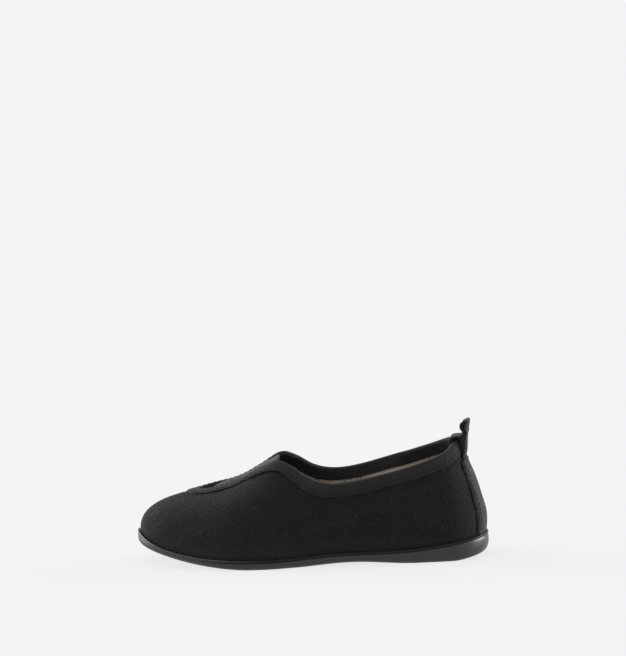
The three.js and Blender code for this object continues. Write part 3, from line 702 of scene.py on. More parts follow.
def cloth_material(name, dark, light, pitch, depth_mm, speck, sheen):
    """Plain weave with slubs, worn patches, painted floor light near the sole and caught fibres."""
    nodes = Nodes(name)
    weave = plain_weave(nodes, pitch)
    patches = nodes.noise(nodes.place(), 0.09, 3)
    yarns = nodes.noise(nodes.place(), 1.6, 2)
    tone = nodes.add(nodes.times(weave, 0.75), nodes.times(yarns, 0.25))
    colour = nodes.mix(tone, dark, light)
    lighter = tuple(2.2 * v for v in light[:3]) + (1,)
    slubs = nodes.remap(nodes.noise(nodes.place(), 0.55, 3, 0.7), 0.5, 0.72)
    colour = nodes.mix(nodes.times(slubs, nodes.times(weave, 0.6)), colour, lighter)
    colour = nodes.mix(nodes.remap(patches, 0.42, 0.75, 0.0, 0.2), colour, lighter)
    # Painted light: the cloth is made lighter near the sole, as bounce light from the bright floor would make
    # it.
    colour = nodes.mix(nodes.times(painted_floor_light(nodes), 0.3), colour, lighter)
    colour = nodes.mix(nodes.times(lint(nodes, 3.4, 0.32), 0.75), colour, speck)
    fuzz = nodes.bump(nodes.noise(nodes.place(), 5.0, 2), 0.05, 0.5)
    normal = nodes.bump(weave, depth_mm, 1.0, fuzz)
    rough = nodes.remap(patches, 0.3, 0.7, 0.82, 0.95)
    return nodes.finish(
        colour, rough, normal, Specular_IOR_Level=0.12, Sheen_Weight=sheen, Sheen_Roughness=0.45,
    )


def tape_material(name, dark, light, rib_pitch, depth_mm, sheen):
    """Woven tape: fine ribs across its length, which runs along U."""
    nodes = Nodes(name)
    u, v, vector = nodes.cloth_coordinates()
    ribs = yarn_section(nodes, nodes.math("DIVIDE", wobble(nodes, u, vector, 0.08, 0.4), rib_pitch))
    cross = yarn_section(nodes, nodes.math("DIVIDE", v, rib_pitch * 1.3))
    height = nodes.add(nodes.times(ribs, 0.65), nodes.times(cross, 0.35))
    patches = nodes.noise(nodes.place(), 0.15, 3)
    tone = nodes.add(nodes.times(height, 0.7), nodes.times(patches, 0.4))
    colour = nodes.mix(tone, dark, light)
    colour = nodes.mix(nodes.times(lint(nodes, 4.6, 0.28), 0.5), colour, grey(0.2))
    normal = nodes.bump(height, depth_mm)
    return nodes.finish(
        colour, nodes.remap(patches, 0.3, 0.7, 0.7, 0.88), normal,
        Specular_IOR_Level=0.16, Sheen_Weight=sheen, Sheen_Roughness=0.4,
    )


def elastic_material():
    """Elastic webbing: the ribs are in the mesh, so this adds the fine cross wires and the rubber's grey."""
    nodes = Nodes("elastic_webbing")
    u, v, _ = nodes.cloth_coordinates()
    wires = yarn_section(nodes, nodes.math("DIVIDE", u, 0.45))
    ribs = yarn_section(nodes, nodes.math("DIVIDE", v, GORE_RIB))
    patches = nodes.noise(nodes.place(), 0.3, 3)
    tone = nodes.times(nodes.add(ribs, patches), 0.6)
    colour = nodes.mix(tone, grey(0.008, 0.08), grey(0.034, 0.1))
    normal = nodes.bump(wires, 0.06)
    return nodes.finish(colour, 0.72, normal, Specular_IOR_Level=0.25, Sheen_Weight=0.08)


def lining_material():
    """Cream cloth with a sparse small dark print."""
    nodes = Nodes("printed_lining")
    weave = plain_weave(nodes, LINING_PITCH, wander=0.05)
    _, _, vector = nodes.cloth_coordinates()
    patches = nodes.noise(nodes.place(), 0.08, 3)
    cloth = nodes.mix(weave, grey(0.19, 0.14), grey(0.34, 0.14))
    cloth = nodes.mix(nodes.remap(patches, 0.4, 0.8, 0.0, 0.35), cloth, grey(0.2, 0.2))
    sprig = nodes.node("ShaderNodeTexVoronoi", feature="F1")
    nodes.feed(sprig.inputs["Vector"], vector)
    sprig.inputs["Scale"].default_value = 1 / PRINT_SPACING
    sprig.inputs["Randomness"].default_value = 0.55
    spot = nodes.remap(sprig.outputs["Distance"], 0.3, 0.34, 1.0, 0.0)
    petals = nodes.remap(nodes.noise(vector, 1.4, 1), 0.46, 0.5)
    ink = nodes.times(spot, petals)
    colour = nodes.mix(nodes.times(ink, 0.88), cloth, grey(0.03))
    normal = nodes.bump(weave, 0.07)
    return nodes.finish(colour, 0.9, normal, Specular_IOR_Level=0.25, Sheen_Weight=0.15)


def rubber_material(name, lip=False):
    """Black moulded rubber with a soft gloss, fine grain and scuffs near the ground. The lip is duller."""
    nodes = Nodes(name)
    place = nodes.place()
    grain = nodes.noise(place, 2.2, 4, 0.6)
    patches = nodes.noise(place, 0.07, 3)
    scuffs = nodes.noise(place, 0.5, 5, 0.7)
    x, _, z = nodes.axes(place)
    low = nodes.remap(z, 0.3, 2.2, 1.0, 0.0)
    wear = nodes.times(low, nodes.remap(scuffs, 0.48, 0.68))
    colour = nodes.mix(patches, grey(0.007), grey(0.012, 0.02))
    colour = nodes.mix(nodes.times(wear, 0.5), colour, grey(0.035, 0.03))
    rough = nodes.add(nodes.remap(patches, 0.3, 0.7, 0.34, 0.46), nodes.times(wear, 0.3))
    normal = nodes.bump(grain, 0.012, 0.5)
    gloss = nodes.remap(x, *LIP_DULLS, SOLE_GLOSS, LIP_GLOSS) if lip else SOLE_GLOSS
    return nodes.finish(colour, rough, normal, Specular_IOR_Level=gloss)


def thread_material():
    """Twisted sewing thread: fine diagonal strands along U."""
    nodes = Nodes("sewing_thread")
    u, v, _ = nodes.cloth_coordinates()
    twist = nodes.add(nodes.times(u, 3.2), nodes.times(v, 1.0))
    strand = yarn_section(nodes, twist)
    colour = nodes.mix(strand, grey(0.003), grey(0.014))
    return nodes.finish(colour, 0.65, nodes.bump(strand, 0.05), Specular_IOR_Level=0.2, Sheen_Weight=0.05)


def plain_material(name, one, other, scale, depth_mm):
    """Foam, board or felt: two tones and a fine grain."""
    nodes = Nodes(name)
    grain = nodes.noise(nodes.place(), scale, 4, 0.65)
    colour = nodes.mix(nodes.remap(grain, 0.35, 0.7), one, other)
    return nodes.finish(colour, 0.9, nodes.bump(grain, depth_mm))


MATERIALS = {
    "canvas": cloth_material(
        "black_canvas", grey(0.0016, -0.05), grey(0.0125, -0.06), CANVAS_PITCH, 0.42,
        speck=grey(0.12, -0.05), sheen=0.05,
    ),
    # The backstay's cloth is lighter than the upper's. Part of this is its own paler cloth, and part is
    # painted light, as the heel-side lamp lights it.
    "stay": cloth_material(
        "backstay_canvas_paler_with_painted_light", grey(0.009, -0.02), grey(0.05, -0.02), STAY_PITCH, 0.4, speck=grey(0.2), sheen=0.1,
    ),
    "tape": tape_material("binding_tape", grey(0.0028, 0.02), grey(0.0165, 0.03), 0.6, 0.2, sheen=0.05),
    "loop": tape_material("loop_tape", grey(0.004, 0.03), grey(0.019, 0.05), 0.65, 0.2, sheen=0.08),
    "elastic": elastic_material(),
    "lining": lining_material(),
    "rubber": rubber_material("moulded_rubber"),
    "dull_rubber": rubber_material("dull_rubber", lip=True),
    "thread": thread_material(),
    "foam": plain_material("cushion_foam", grey(0.55, 0.06), grey(0.7, 0.06), 1.8, 0.12),
    "filler": plain_material("filler_foam", grey(0.3, 0.08), grey(0.42, 0.08), 1.2, 0.15),
    "board": plain_material("fibre_board", grey(0.38, 0.2), grey(0.55, 0.18), 0.9, 0.08),
    "felt": plain_material("stiffener_felt", grey(0.5, 0.1), grey(0.66, 0.08), 1.4, 0.1),
}

HIDDEN_NODES = {
    "heel_wedge": "filler",
    "insole_board": "board",
    "footbed_foam": "foam",
    "heel_counter": "felt",
    "toe_puff": "felt",
}


def dress(node, key):
    """A CAD node that stays gets its procedural material."""
    mesh = frame["nodes"][node].data
    mesh.materials.clear()
    mesh.materials.append(MATERIALS[key])


def keep(piece, slot, *nodes):
    """A finished piece rides on the shoe and stands for CAD nodes. The slot argument is not used."""
    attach(piece, "shoe")
    if nodes:
        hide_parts(*nodes)
    return piece


# ---- upper


def ring_sheet(name, index, depth, over, under, key):
    """Closed sheet round the whole shoe between two offsets. Its UVs are the way round and the depth."""
    middle = skin(index, 0.5 * wall_length(index)[:, None])[:, 0]
    down = np.vstack([depth, depth[:1]]).T
    uv = uv_grid(arc_lengths(middle, closed=True), down)
    faces = (skin(index, depth, offset).transpose(1, 0, 2) for offset in (over, under))
    return shell(name, *faces, uv, MATERIALS[key], closed=True)


def softness(points, index, depth, wall):
    """How far the cloth stands off its smooth shape: slack, puckers at the seam and pleats at the sole."""
    slack = 0.22 * ripple(points, 34, 5) + 0.1 * ripple(points, 12, 6)
    seam = np.exp(-np.clip(depth - TAPE_OUTER, 0, None) / 2.5)
    pucker = 0.12 * seam * ripple(points, 4.2, 7)
    toe = smoothstep(np.minimum(index, TURN - index), 8.5, 11.5)[:, None]
    foot = np.exp(-np.clip(wall[:, None] - depth, 0, None) / 5.0)
    pleat = 0.07 * toe * foot * ripple(points * [1, 1, 0.1], 5.5, 8)
    quiet = smoothstep(depth, 2, TAPE_OUTER + 2) * (1 - 0.6 * foot)
    return slack * quiet + pucker + pleat - stay_hollow(points, depth, wall)


def stay_hollow(points, depth, wall):
    """The canvas is drawn in along both edges of the backstay."""
    share = np.clip((depth - STAY_DROP) / (wall[:, None] - STAY_FOOT - STAY_DROP), 0, 1)
    beside = np.abs(points[..., 1]) - lerp(STAY_TOP, STAY_BOTTOM, share) / 2
    near = hill(beside, 0.4, 0.8) * (points[..., 0] > 0.4 * SHOE_LENGTH)
    return 0.45 * near * smoothstep(depth, STAY_DROP - 4, STAY_DROP) * smoothstep(wall[:, None] - depth, 1, 4)


CANVAS_COLUMNS = 560
CANVAS_ROWS = 54
CANVAS_START = 1.0  # depth of its cut edge, inside the binding's fold


def build_canvas():
    index = np.linspace(0, TURN, CANVAS_COLUMNS, endpoint=False)
    wall = wall_length(index)
    depth = CANVAS_START + np.linspace(0, 1, CANVAS_ROWS) * wall[:, None]
    lift = softness(skin(index, depth), index, depth, wall)
    piece = ring_sheet("canvas_upper", index, depth, lift, -CANVAS, "canvas")
    return keep(piece, "canvas", "upper_canvas")


COUNTER_END = 3.5
PUFF_START = 10.5
RAMP = 0.6
LINING_COLUMNS = 420
LINING_ROWS = 40
LINING_START = 1.5


def lining_offset(index, depth, wall):
    """Offset of the lining's outer face: it eases in behind the heel counter and the toe puff."""
    away = np.minimum(index, TURN - index)
    towards = SIDE_KEYS - np.abs(index - SIDE_KEYS)
    room = smoothstep(depth, TAPE_INNER, TAPE_INNER + 4) * (1 - smoothstep(depth - wall[:, None], -1.5, 0))
    counter = (1 - smoothstep(away, COUNTER_END, COUNTER_END + RAMP)) * (COUNTER + GAP)
    puff = smoothstep(towards, PUFF_START - RAMP, PUFF_START) * (PUFF + GAP)
    return -(CANVAS + GAP) - room * (counter + puff)[:, None]


def build_lining():
    index = np.linspace(0, TURN, LINING_COLUMNS, endpoint=False)
    wall = wall_length(index)
    depth = LINING_START + np.linspace(0, 1, LINING_ROWS) * (wall[:, None] - LINING_START)
    top = lining_offset(index, depth, wall)
    base = skin(index, depth, top - LINING)
    soft = 0.12 * ripple(base, 9, 21) * smoothstep(depth, TAPE_INNER + 1, TAPE_INNER + 4)
    under = top - LINING + np.minimum(soft, 0.1)
    piece = ring_sheet("printed_lining", index, depth, top, under, "lining")
    return keep(piece, "lining_cloth", "upper_lining")


# ---- binding and its stitches

STITCH_PITCH = 2.6
SEAM_DEPTH = TAPE_OUTER - STITCH_INSET
TAPE_FACE = GAP + TAPE
INNER_TOP = -(CANVAS + LINING + 2 * GAP)
INNER_FACE = INNER_TOP - TAPE


def binding_profile():
    """Closed section as (depth, offset), from the outer leg's lower edge up over the fold and down inside."""
    outer = [(TAPE_OUTER, GAP), (TAPE_OUTER + 0.12, GAP + 0.3 * TAPE), (TAPE_OUTER, TAPE_FACE - 0.08)]
    outer += [(depth, TAPE_FACE) for depth in np.linspace(TAPE_OUTER - 0.35, 0.4, 14)]
    rise = TAPE_FOLD + GAP + 0.3 * TAPE
    middle, half = (TAPE_FACE + INNER_FACE) / 2, (TAPE_FACE - INNER_FACE) / 2
    fold = [
        (-rise * math.sin(angle), middle + half * math.cos(angle))
        for angle in np.linspace(0, math.pi, 13)
    ]
    inner = [(depth, INNER_FACE) for depth in np.linspace(0.4, TAPE_INNER - 0.3, 10)]
    inner += [(TAPE_INNER, INNER_FACE + 0.12), (TAPE_INNER, INNER_TOP)]
    back = [(0.3, INNER_TOP), (0.1, INNER_TOP + 0.2), (0.1, GAP - 0.1), (0.3, GAP)]
    return np.array(outer + fold + inner + back)


def seam_indices():
    return even_indices(SEAM_DEPTH, STITCH_PITCH)[:-1]


def build_binding():
    holes = seam_indices()
    per_stitch = 6
    ring = np.append(holes, TURN)
    index = np.concatenate([
        np.linspace(a, b, per_stitch, endpoint=False) for a, b in zip(ring[:-1], ring[1:])
    ])
    phase = np.tile(np.arange(per_stitch) / per_stitch, len(holes))
    section = binding_profile()
    depth = np.broadcast_to(section[:, 0], (len(index), len(section))).copy()
    offset = np.broadcast_to(section[:, 1], depth.shape).copy()
    outside = offset > TAPE_FACE - 0.05
    at_hole = 0.5 + 0.5 * np.cos(TAU * phase)[:, None]
    groove = hill(depth, SEAM_DEPTH, 0.55)
    crown = hill(depth, 1.6, 1.9)
    edge = ripple(skin(index, [TAPE_OUTER]), 7.5, 31)
    offset += outside * (0.16 * crown - groove * (0.12 + 0.16 * at_hole))
    offset += outside * 0.06 * ripple(skin(index, depth), 5, 32)
    depth += (depth > TAPE_OUTER - 0.5) * 0.14 * edge
    inner = np.abs(offset - INNER_FACE) < 0.02
    offset += inner * hill(depth, SEAM_DEPTH, 0.5) * (0.08 + 0.08 * at_hole)
    rings = skin(index, depth, offset)
    uv_along = arc_lengths(skin(index, [0.0])[:, 0], closed=True)
    uv_round = arc_lengths(section, closed=True)
    piece = sweep("topline_tape", rings, uv_along, uv_round, MATERIALS["tape"], closed=True)
    return keep(piece, "binding_tape", "topline_binding")


THREAD_RADIUS = 0.22
STITCH_RISE = 0.08
STITCH_SINK = 0.4
STITCH_SHARE = 0.86  # of the way from hole to hole
STITCH_STEPS = 9
STITCH_SIDES = 8


def stitch_rings(start, end, normal):
    """Rings of one stitch: it leaves its hole, lies on the cloth and goes back in."""
    t = np.linspace(0, 1, STITCH_STEPS)
    height = STITCH_RISE * np.sin(np.pi * t) ** 0.6 - STITCH_SINK * (np.abs(2 * t - 1) ** 6)
    path = start + (end - start) * t[:, None] + normal * height[:, None]
    _, side, up = frames_along(path, np.broadcast_to(normal, path.shape))
    swell = THREAD_RADIUS * (0.72 + 0.28 * np.sin(np.pi * t) ** 0.5)
    angle = np.arange(STITCH_SIDES) / STITCH_SIDES * TAU
    round_ = side[:, None] * np.cos(angle)[None, :, None] + up[:, None] * np.sin(angle)[None, :, None]
    return path[:, None] + round_ * swell[:, None, None]


def stitches(name, points, normals):
    """One mesh of separate stitches between successive holes."""
    all_points, faces, uvs = [], [], []
    uv_round = np.linspace(0, 1, STITCH_SIDES + 1)
    for a, b, normal in zip(points[:-1], points[1:], (normals[:-1] + normals[1:]) / 2):
        middle = (a + b) / 2
        start, end = middle + (a - middle) * STITCH_SHARE, middle + (b - middle) * STITCH_SHARE
        rings = stitch_rings(start, end, unit(normal))
        base = len(all_points) * STITCH_STEPS * STITCH_SIDES
        uv_along = np.linspace(0, np.linalg.norm(end - start), STITCH_STEPS)
        sides, side_uvs = tube_faces(rings, uv_along, uv_round, base=base)
        ends = [[base + n * STITCH_SIDES + k for k in range(STITCH_SIDES)] for n in (0, STITCH_STEPS - 1)]
        faces += sides + ends
        uvs += side_uvs + [[(0, 0)] * STITCH_SIDES for _ in ends]
        all_points.append(rings.reshape(-1, 3))
    return make_mesh(name, np.vstack(all_points), faces, uvs, MATERIALS["thread"])


def seam_line(index, depth, offset):
    """Points and outward directions of a seam's holes, for an index and a depth at each hole."""
    index = np.asarray(index, float)
    depth = np.broadcast_to(depth, index.shape)[:, None]
    points = skin(index, depth, offset)[:, 0]
    normals = skin(index, depth, offset + 1.0)[:, 0] - points
    return points, normals


def build_binding_stitches():
    holes = np.append(seam_indices(), TURN)
    outside = seam_line(holes, SEAM_DEPTH, TAPE_FACE - 0.06)
    keep(stitches("binding_stitches", *outside), "thread", "binding_stitch")
    points, normals = seam_line(holes, SEAM_DEPTH, INNER_FACE + 0.06)
    keep(stitches("binding_stitches_inside", points, -normals), "thread")


# ---- elastic gore

GORE_TOP = INNER_FACE - SEAT
GORE_STEP = 3 * SEAT
GORE_START = THROAT_RIB + 0.5
GORE_END = SIDE_KEYS - 0.5
GORE_REACH = 0.2
GORE_RISE = 7
gore_bow = profile([
    (GORE_START, 0.8 * GORE_RISE),
    (THROAT_RIB + 1.5, GORE_RISE),
    (THROAT_RIB + 2.5, 0.96 * GORE_RISE),
    (THROAT_RIB + 3.5, 0.6 * GORE_RISE),
    (GORE_END, 0.05 * GORE_RISE),
])


def gore_grid(index, offset, across):
    """Rows over the slot: sewn under the binding at both sides and bowed over the foot between them."""
    outer, inner = (skin(k, [TAPE_INNER], offset)[:, 0] for k in (index, TURN - index))
    outer_edge, inner_edge = (skin(k, [0.0], offset - GORE_STEP)[:, 0] for k in (index, TURN - index))
    width = np.linalg.norm(inner_edge - outer_edge, axis=1, keepdims=True)
    lift = UP * gore_bow(index)[:, None]
    handles = [
        edge + unit(edge - sewn) * width * GORE_REACH + lift
        for edge, sewn in ((outer_edge, outer), (inner_edge, inner))
    ]
    t = np.clip(across, 0, 1)[None, :, None]
    bow = bezier(*(row[:, None] for row in (outer_edge, *handles, inner_edge)), t)
    under_outer = np.clip(-across, 0, None)[None, :, None]
    under_inner = np.clip(across - 1, 0, None)[None, :, None]
    return bow + (outer - outer_edge)[:, None] * under_outer + (inner - inner_edge)[:, None] * under_inner


def build_gore():
    """Ribs run along the foot. The free edge at the throat is hemmed and a little thicker."""
    hem_rows = np.linspace(GORE_START, GORE_START + 0.08, 5)
    index = np.concatenate([hem_rows, np.linspace(GORE_START + 0.12, GORE_END, 90)])
    across = np.concatenate([np.linspace(-1, -0.05, 8), np.linspace(0, 1, 190), np.linspace(1.05, 2, 8)])
    over = gore_grid(index, GORE_TOP, across)
    under = gore_grid(index, GORE_TOP - GORE, across)
    middle = over[len(index) // 3]
    v = arc_lengths(middle)
    v -= v[len(v) // 2]
    ribs = np.sqrt(np.clip(1 - (2 * np.mod(v / GORE_RIB, 1) - 1) ** 2, 0, 1))
    bare = (across > 0) & (across < 1)
    hem = hill(np.arange(len(index)), 3, 2.0)[:, None]
    pull = 0.1 * ripple(over, 7, 61)
    over[..., 2] += bare * ((0.2 * ribs)[None] * (1 - hem) + 0.25 * hem - 0.12 + pull)
    u = arc_lengths(over[:, over.shape[1] // 2])
    piece = shell("elastic_panel", over, under, uv_grid(u[:, None], v), MATERIALS["elastic"])
    return keep(piece, "elastic_webbing", "elastic_gore")


def build_gore_stitches():
    """Second row round the slot, which holds the elastic, close to the binding's fold."""
    holes = even_indices(STITCH_INSET, STITCH_PITCH, THROAT_RIB + 0.2, TURN - THROAT_RIB - 0.2)
    piece = stitches("gore_stitches", *seam_line(holes, STITCH_INSET, TAPE_FACE + 0.06))
    return keep(piece, "thread", "gore_stitch")


# ---- backstay

STAY_FACE = SEAT * 0.6 + STAY  # offset of its outer face
STAY_SEAM = 0.78  # place of its seams, as a share of its half width


def stay_half(share):
    return (STAY_TOP + (STAY_BOTTOM - STAY_TOP) * share) / 2


def stay_ribs(distance, share):
    """Rib indices beside the back seam, part of the way down the backstay."""
    return ribs_beside(distance, STAY_DROP + 20 * share)


def stay_depth(share, index):
    end = wall_length(index) - STAY_FOOT + 1.2
    return STAY_DROP + share * (end - STAY_DROP)


def build_backstay():
    """Strip with its long edges folded under, so that they stand a little prouder than the middle."""
    stations, across = 64, 31
    side = np.linspace(-1, 1, across)
    edge = np.abs(side)
    roll = 0.45 * hill(edge, 0.9, 0.06)
    seam = -0.2 * hill(edge, STAY_SEAM, 0.035)
    fall = 0.5 * smoothstep(edge, 0.96, 1.0)
    over, under = [], []
    for share in np.linspace(0, 1, stations):
        index = stay_ribs(side * stay_half(share), share)
        depth = stay_depth(share, index)[:, None]
        wave = 0.08 * ripple(skin(index, depth), 9, 41)[:, 0]
        top_roll = 0.25 * hill(share, 0.03, 0.025)
        lift = STAY_FACE + roll + seam - fall + wave + top_roll
        over.append(skin(index, depth, lift[:, None])[:, 0])
        under.append(skin(index, depth, GAP * 0.5)[:, 0])
    over, under = np.array(over), np.array(under)
    down = arc_lengths(over[:, across // 2])[:, None]
    uv = uv_grid(np.linspace(0, 1, across) * STAY_BOTTOM, down)
    piece = shell("heel_strip", over, under, uv, MATERIALS["stay"])
    return keep(piece, "canvas", "backstay")


def build_backstay_stitches():
    share = np.linspace(0.05, 0.95, 15)
    for side, name, node in ((1, "outer", "backstay_stitch_outer"), (-1, "inner", "backstay_stitch_inner")):
        index = np.array([float(stay_ribs(side * stay_half(s) * STAY_SEAM, s)) for s in share])
        depth = np.array([float(stay_depth(s, np.array([i]))[0]) for s, i in zip(share, index)])
        points, normals = seam_line(index, depth, STAY_FACE - 0.05)
        keep(stitches(f"heel_stitches_{name}", points, normals), "thread", node)


# ---- pull loop

HINGE = np.array(frame["joints"][0]["pos_m"]) / MM
LOOP_TAPE = 1.2


def smooth_path(points, spacing):
    """Points an even distance apart along a smooth curve through the given points."""
    points = np.array(points, float)
    ends = np.vstack([2 * points[0] - points[1], points, 2 * points[-1] - points[-2]])
    fine = []
    for k in range(1, len(ends) - 2):
        p, q, r, s = ends[k - 1:k + 3]
        t = np.linspace(0, 1, 40, endpoint=False)[:, None]
        fine.append(catmull_rom(p, q, r, s, t))
    fine = np.vstack(fine + [points[-1:]])
    length = arc_lengths(fine)
    even = np.linspace(0, length[-1], max(2, int(length[-1] / spacing)))
    return np.stack([np.interp(even, length, fine[:, axis]) for axis in range(3)], -1)


def on_skin(index, depth, offset):
    return skin(np.array([float(index)]), [float(depth)], offset)[0, 0]


# Middle of the tape, seen from the side, from the hinge line: up the outer ply, over, and down the inner ply.
LOOP_PATH = [
    (0.3, -7),
    (0.5, -4),
    (0.7, -1.6),
    (0.9, 0.4),
    (1.2, 2.5),
    (1.6, 4.5),
    (1.75, 5.3),
    (1.5, 5.8),
    (0.8, 5.75),
    (-0.1, 5.1),
    (-0.7, 4.1),
    (-0.75, 2.6),
    (-0.4, 1.1),
    (-0.35, 0.1),
    (-0.9, -0.85),
    (-2.0, -1.35),
]
LOOP_TWIST = math.radians(4)
LOOP_FOLD = 2.7  # the outer ply is folded over a filler, which thins to nothing below
PRESSED_FROM = 11.4  # below the hinge, where the tape goes under the backstay
HEEL_BACK_RADIUS = 15
FILLER_WIDTH = 0.84  # of the tape's width, so that the filler lies back from its edges


def build_pull_loop():
    """One tape: sewn under the backstay, up the heel, folded over, and down inside the binding."""
    x, _, z = HINGE
    crest = on_skin(0, -(TAPE_FOLD + GAP + 0.3 * TAPE + 0.7), INNER_TOP)
    ends = [on_skin(0, STAY_DROP + 3, GAP + 0.2), on_skin(0, STAY_DROP - 0.4, GAP + 0.3)]
    inside = [crest, on_skin(0, 1.0, INNER_FACE - 0.7), on_skin(0, TAPE_INNER + 1.0, INNER_FACE - 0.6)]
    middle = [(x + dx, 0, z + dz) for dx, dz in LOOP_PATH]
    centre = smooth_path([(p[0], 0, p[2]) for p in ends + middle + inside], 0.3)
    tangent = unit(np.gradient(centre, axis=0))
    side = np.array([0, 1.0, 0])
    out = np.cross(side, tangent)
    half, thick = LOOP_WIDTH / 2, LOOP_TAPE / 2
    across = np.linspace(-1, 1, 17)
    face = np.stack([across * half, thick * (1 - 0.25 * np.abs(across) ** 6)], -1)
    section = np.vstack([face, [[half + 0.12, 0]], face[::-1] * [1, -1], [[-half - 0.12, 0]]])
    drop = z - centre[:, 2]
    pressed = first_part(centre) * smoothstep(drop, PRESSED_FROM - 2, PRESSED_FROM)
    ply = section[None, :, 1:] * (1 - 0.7 * pressed)[:, None, None]
    rings = centre[:, None] + side * section[None, :, :1] + out[:, None] * ply
    doubled = first_part(centre) * smoothstep(drop, 0.2, 1.4) * np.clip((9 - drop) / 6, 0, 1)
    inner_face = section[:, 1] < 0
    rings -= inner_face[None, :, None] * out[:, None] * (LOOP_FOLD * doubled)[:, None, None]
    rings[..., 1] *= 1 - (1 - FILLER_WIDTH) * inner_face[None] * np.sqrt(doubled)[:, None]
    follow_heel(rings, centre)
    free = smoothstep(centre[:, 2], z - 2, z + 2)[:, None] * LOOP_TWIST
    rings[..., 0] += rings[..., 1] * free
    cup = smoothstep(centre[:, 2], z + 0.5, z + 3) * smoothstep(z + 6.2 - centre[:, 2], 0, 1.5)
    rings[..., 0] -= (rings[..., 1] ** 2 / 34) * cup[:, None]
    rings += 0.06 * ripple(rings, 6, 51)[..., None] * out[:, None]
    uv_along = arc_lengths(centre)
    uv_round = arc_lengths(section, closed=True)
    piece = sweep("heel_tab", rings, uv_along, uv_round, MATERIALS["loop"])
    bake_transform(piece)
    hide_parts("pull_loop", "pull_loop_outer_leg", "pull_loop_inner_leg")
    return piece


def first_part(centre):
    """1 on the outer ply, before the tape's highest point, and 0 after it."""
    return (np.arange(len(centre)) < np.argmax(centre[:, 2])).astype(float)


def follow_heel(rings, centre):
    """The sewn ends bend round the heel, and the free part is flat across."""
    down = smoothstep(HINGE[2] - centre[:, 2], -1, 4)
    bow = rings[..., 1] ** 2 / (2 * HEEL_BACK_RADIUS)
    rings[..., 0] -= bow * down[:, None]


SEAM_TAPE_HALF = 5
SEAM_TAPE_END = 42  # depth of its lower end
SEAM_TAPE_THICKNESS = 0.4


def build_seam_tape():
    """Tape over the back seam inside, from the binding down."""
    depth = np.linspace(TAPE_INNER + 0.3, SEAM_TAPE_END, 40)
    side = np.linspace(-1, 1, 15)
    index = ribs_beside(side * SEAM_TAPE_HALF, STAY_DROP)
    wall = wall_length(index)
    grid = np.minimum(depth, wall[:, None] - 3)
    top = lining_offset(index, grid, wall) - LINING
    over = skin(index, grid, top - 0.02).transpose(1, 0, 2)
    ridge = 0.1 * hill(side, 0, 0.12)
    under = skin(index, grid, top - SEAM_TAPE_THICKNESS - ridge[:, None]).transpose(1, 0, 2)
    uv = uv_grid(depth[:, None], side * SEAM_TAPE_HALF)
    piece = shell("back_seam_tape", over, under, uv, MATERIALS["tape"])
    return keep(piece, "binding_tape", "inner_seam_tape")


def build_tack_stitches():
    """The row across the backstay's top that holds the loop."""
    depth = STAY_DROP + STITCH_INSET
    index = ribs_beside(np.linspace(-1, 1, 5) * (LOOP_WIDTH / 2 - 0.2), depth)
    points, normals = seam_line(index, depth, STAY_FACE + 0.12)
    keep(stitches("heel_tab_tack", points, normals), "thread", "loop_tack_stitch")
    points, normals = seam_line(index, TAPE_INNER - 0.8, INNER_FACE - LOOP_TAPE - 0.2)
    keep(stitches("heel_tab_tack_inside", points, -normals), "thread")


# ---- sole and footbed

SOLE_COLUMNS = 560
TREAD_DEPTH = 0.8
TREAD_WIDTH = 1.3
TREAD_PITCH = 6
TREAD_BORDER = 6
TREAD_ZONES = [(0.07, 0.22), (0.5, 0.92)]
BAR_FACES = [[3, 2, 1, 0], [4, 5, 6, 7], [0, 1, 5, 4], [1, 2, 6, 5], [2, 3, 7, 6], [3, 0, 4, 7]]


def sole_ring(inset, height):
    """Ring of points at an inset from the sole's edge, spaced like the ribs."""
    index = np.linspace(0, TURN, SOLE_COLUMNS, endpoint=False)
    arc = between(index)[:, 0]
    ring = edge_point(arc, inset)
    ring[:, 2] = height(share_at(ring[:, 0]))
    return ring + SHIFT


def loft(name, rings, material, dull_rings=()):
    """Closed solid through rings round the sole, first ring at the bottom. Rungs close both ends."""
    rings = np.array(rings)
    layers, count = rings.shape[:2]
    faces = []
    for r in range(layers - 1):
        for c in range(count):
            d = (c + 1) % count
            faces.append([r * count + c, r * count + d, (r + 1) * count + d, (r + 1) * count + c])
    for r in (0, layers - 1):
        for c in range(count // 2):
            corners = list(dict.fromkeys([c, c + 1, count - c - 1, (count - c) % count]))
            if len(corners) > 2:
                faces.append([r * count + k for k in corners])
    flat = rings.reshape(-1, 3)
    uvs = [[flat[k][:2] for k in corners] for corners in faces]
    solid = make_mesh(name, flat, faces, uvs, material)
    if dull_rings:
        solid.data.materials.append(MATERIALS["dull_rubber"])
    for r in dull_rings:
        for face in solid.data.polygons[r * count:(r + 1) * count]:
            face.material_index = 1
    return solid


def reach_at(ring, side, x):
    """Distance from the middle line to a ring's edge at x, on one side."""
    edge = ring[ring[:, 1] * side > 0]
    edge = edge[np.argsort(edge[:, 0])]
    return side * np.interp(x, edge[:, 0], edge[:, 1])


def tread_cutter():
    """All the tread's grooves as one mesh of tapered bars."""
    plain = sole_ring(TREAD_BORDER, lambda share: 0 * share)
    points, faces = [], []
    for start, end in TREAD_ZONES:
        x = float(along(start))
        while x > along(end):
            outer, inner = (
                min(reach_at(plain, side, x - TREAD_WIDTH), reach_at(plain, side, x + TREAD_WIDTH))
                for side in (-1, 1)
            )
            top = float(ground_height(share_at(x))) + TREAD_DEPTH
            base = len(points)
            for z, half in ((-1.5, TREAD_WIDTH * 0.62), (top, TREAD_WIDTH * 0.42)):
                for dx, y in ((-half, -outer), (half, -outer), (half, inner), (-half, inner)):
                    points.append((x + SHIFT[0] + dx, y, z))
            faces += [[base + k for k in face] for face in BAR_FACES]
            x -= TREAD_PITCH
    uvs = [[(0, 0)] * 4 for _ in faces]
    return make_mesh("tread_cutter", points, faces, uvs, MATERIALS["rubber"])


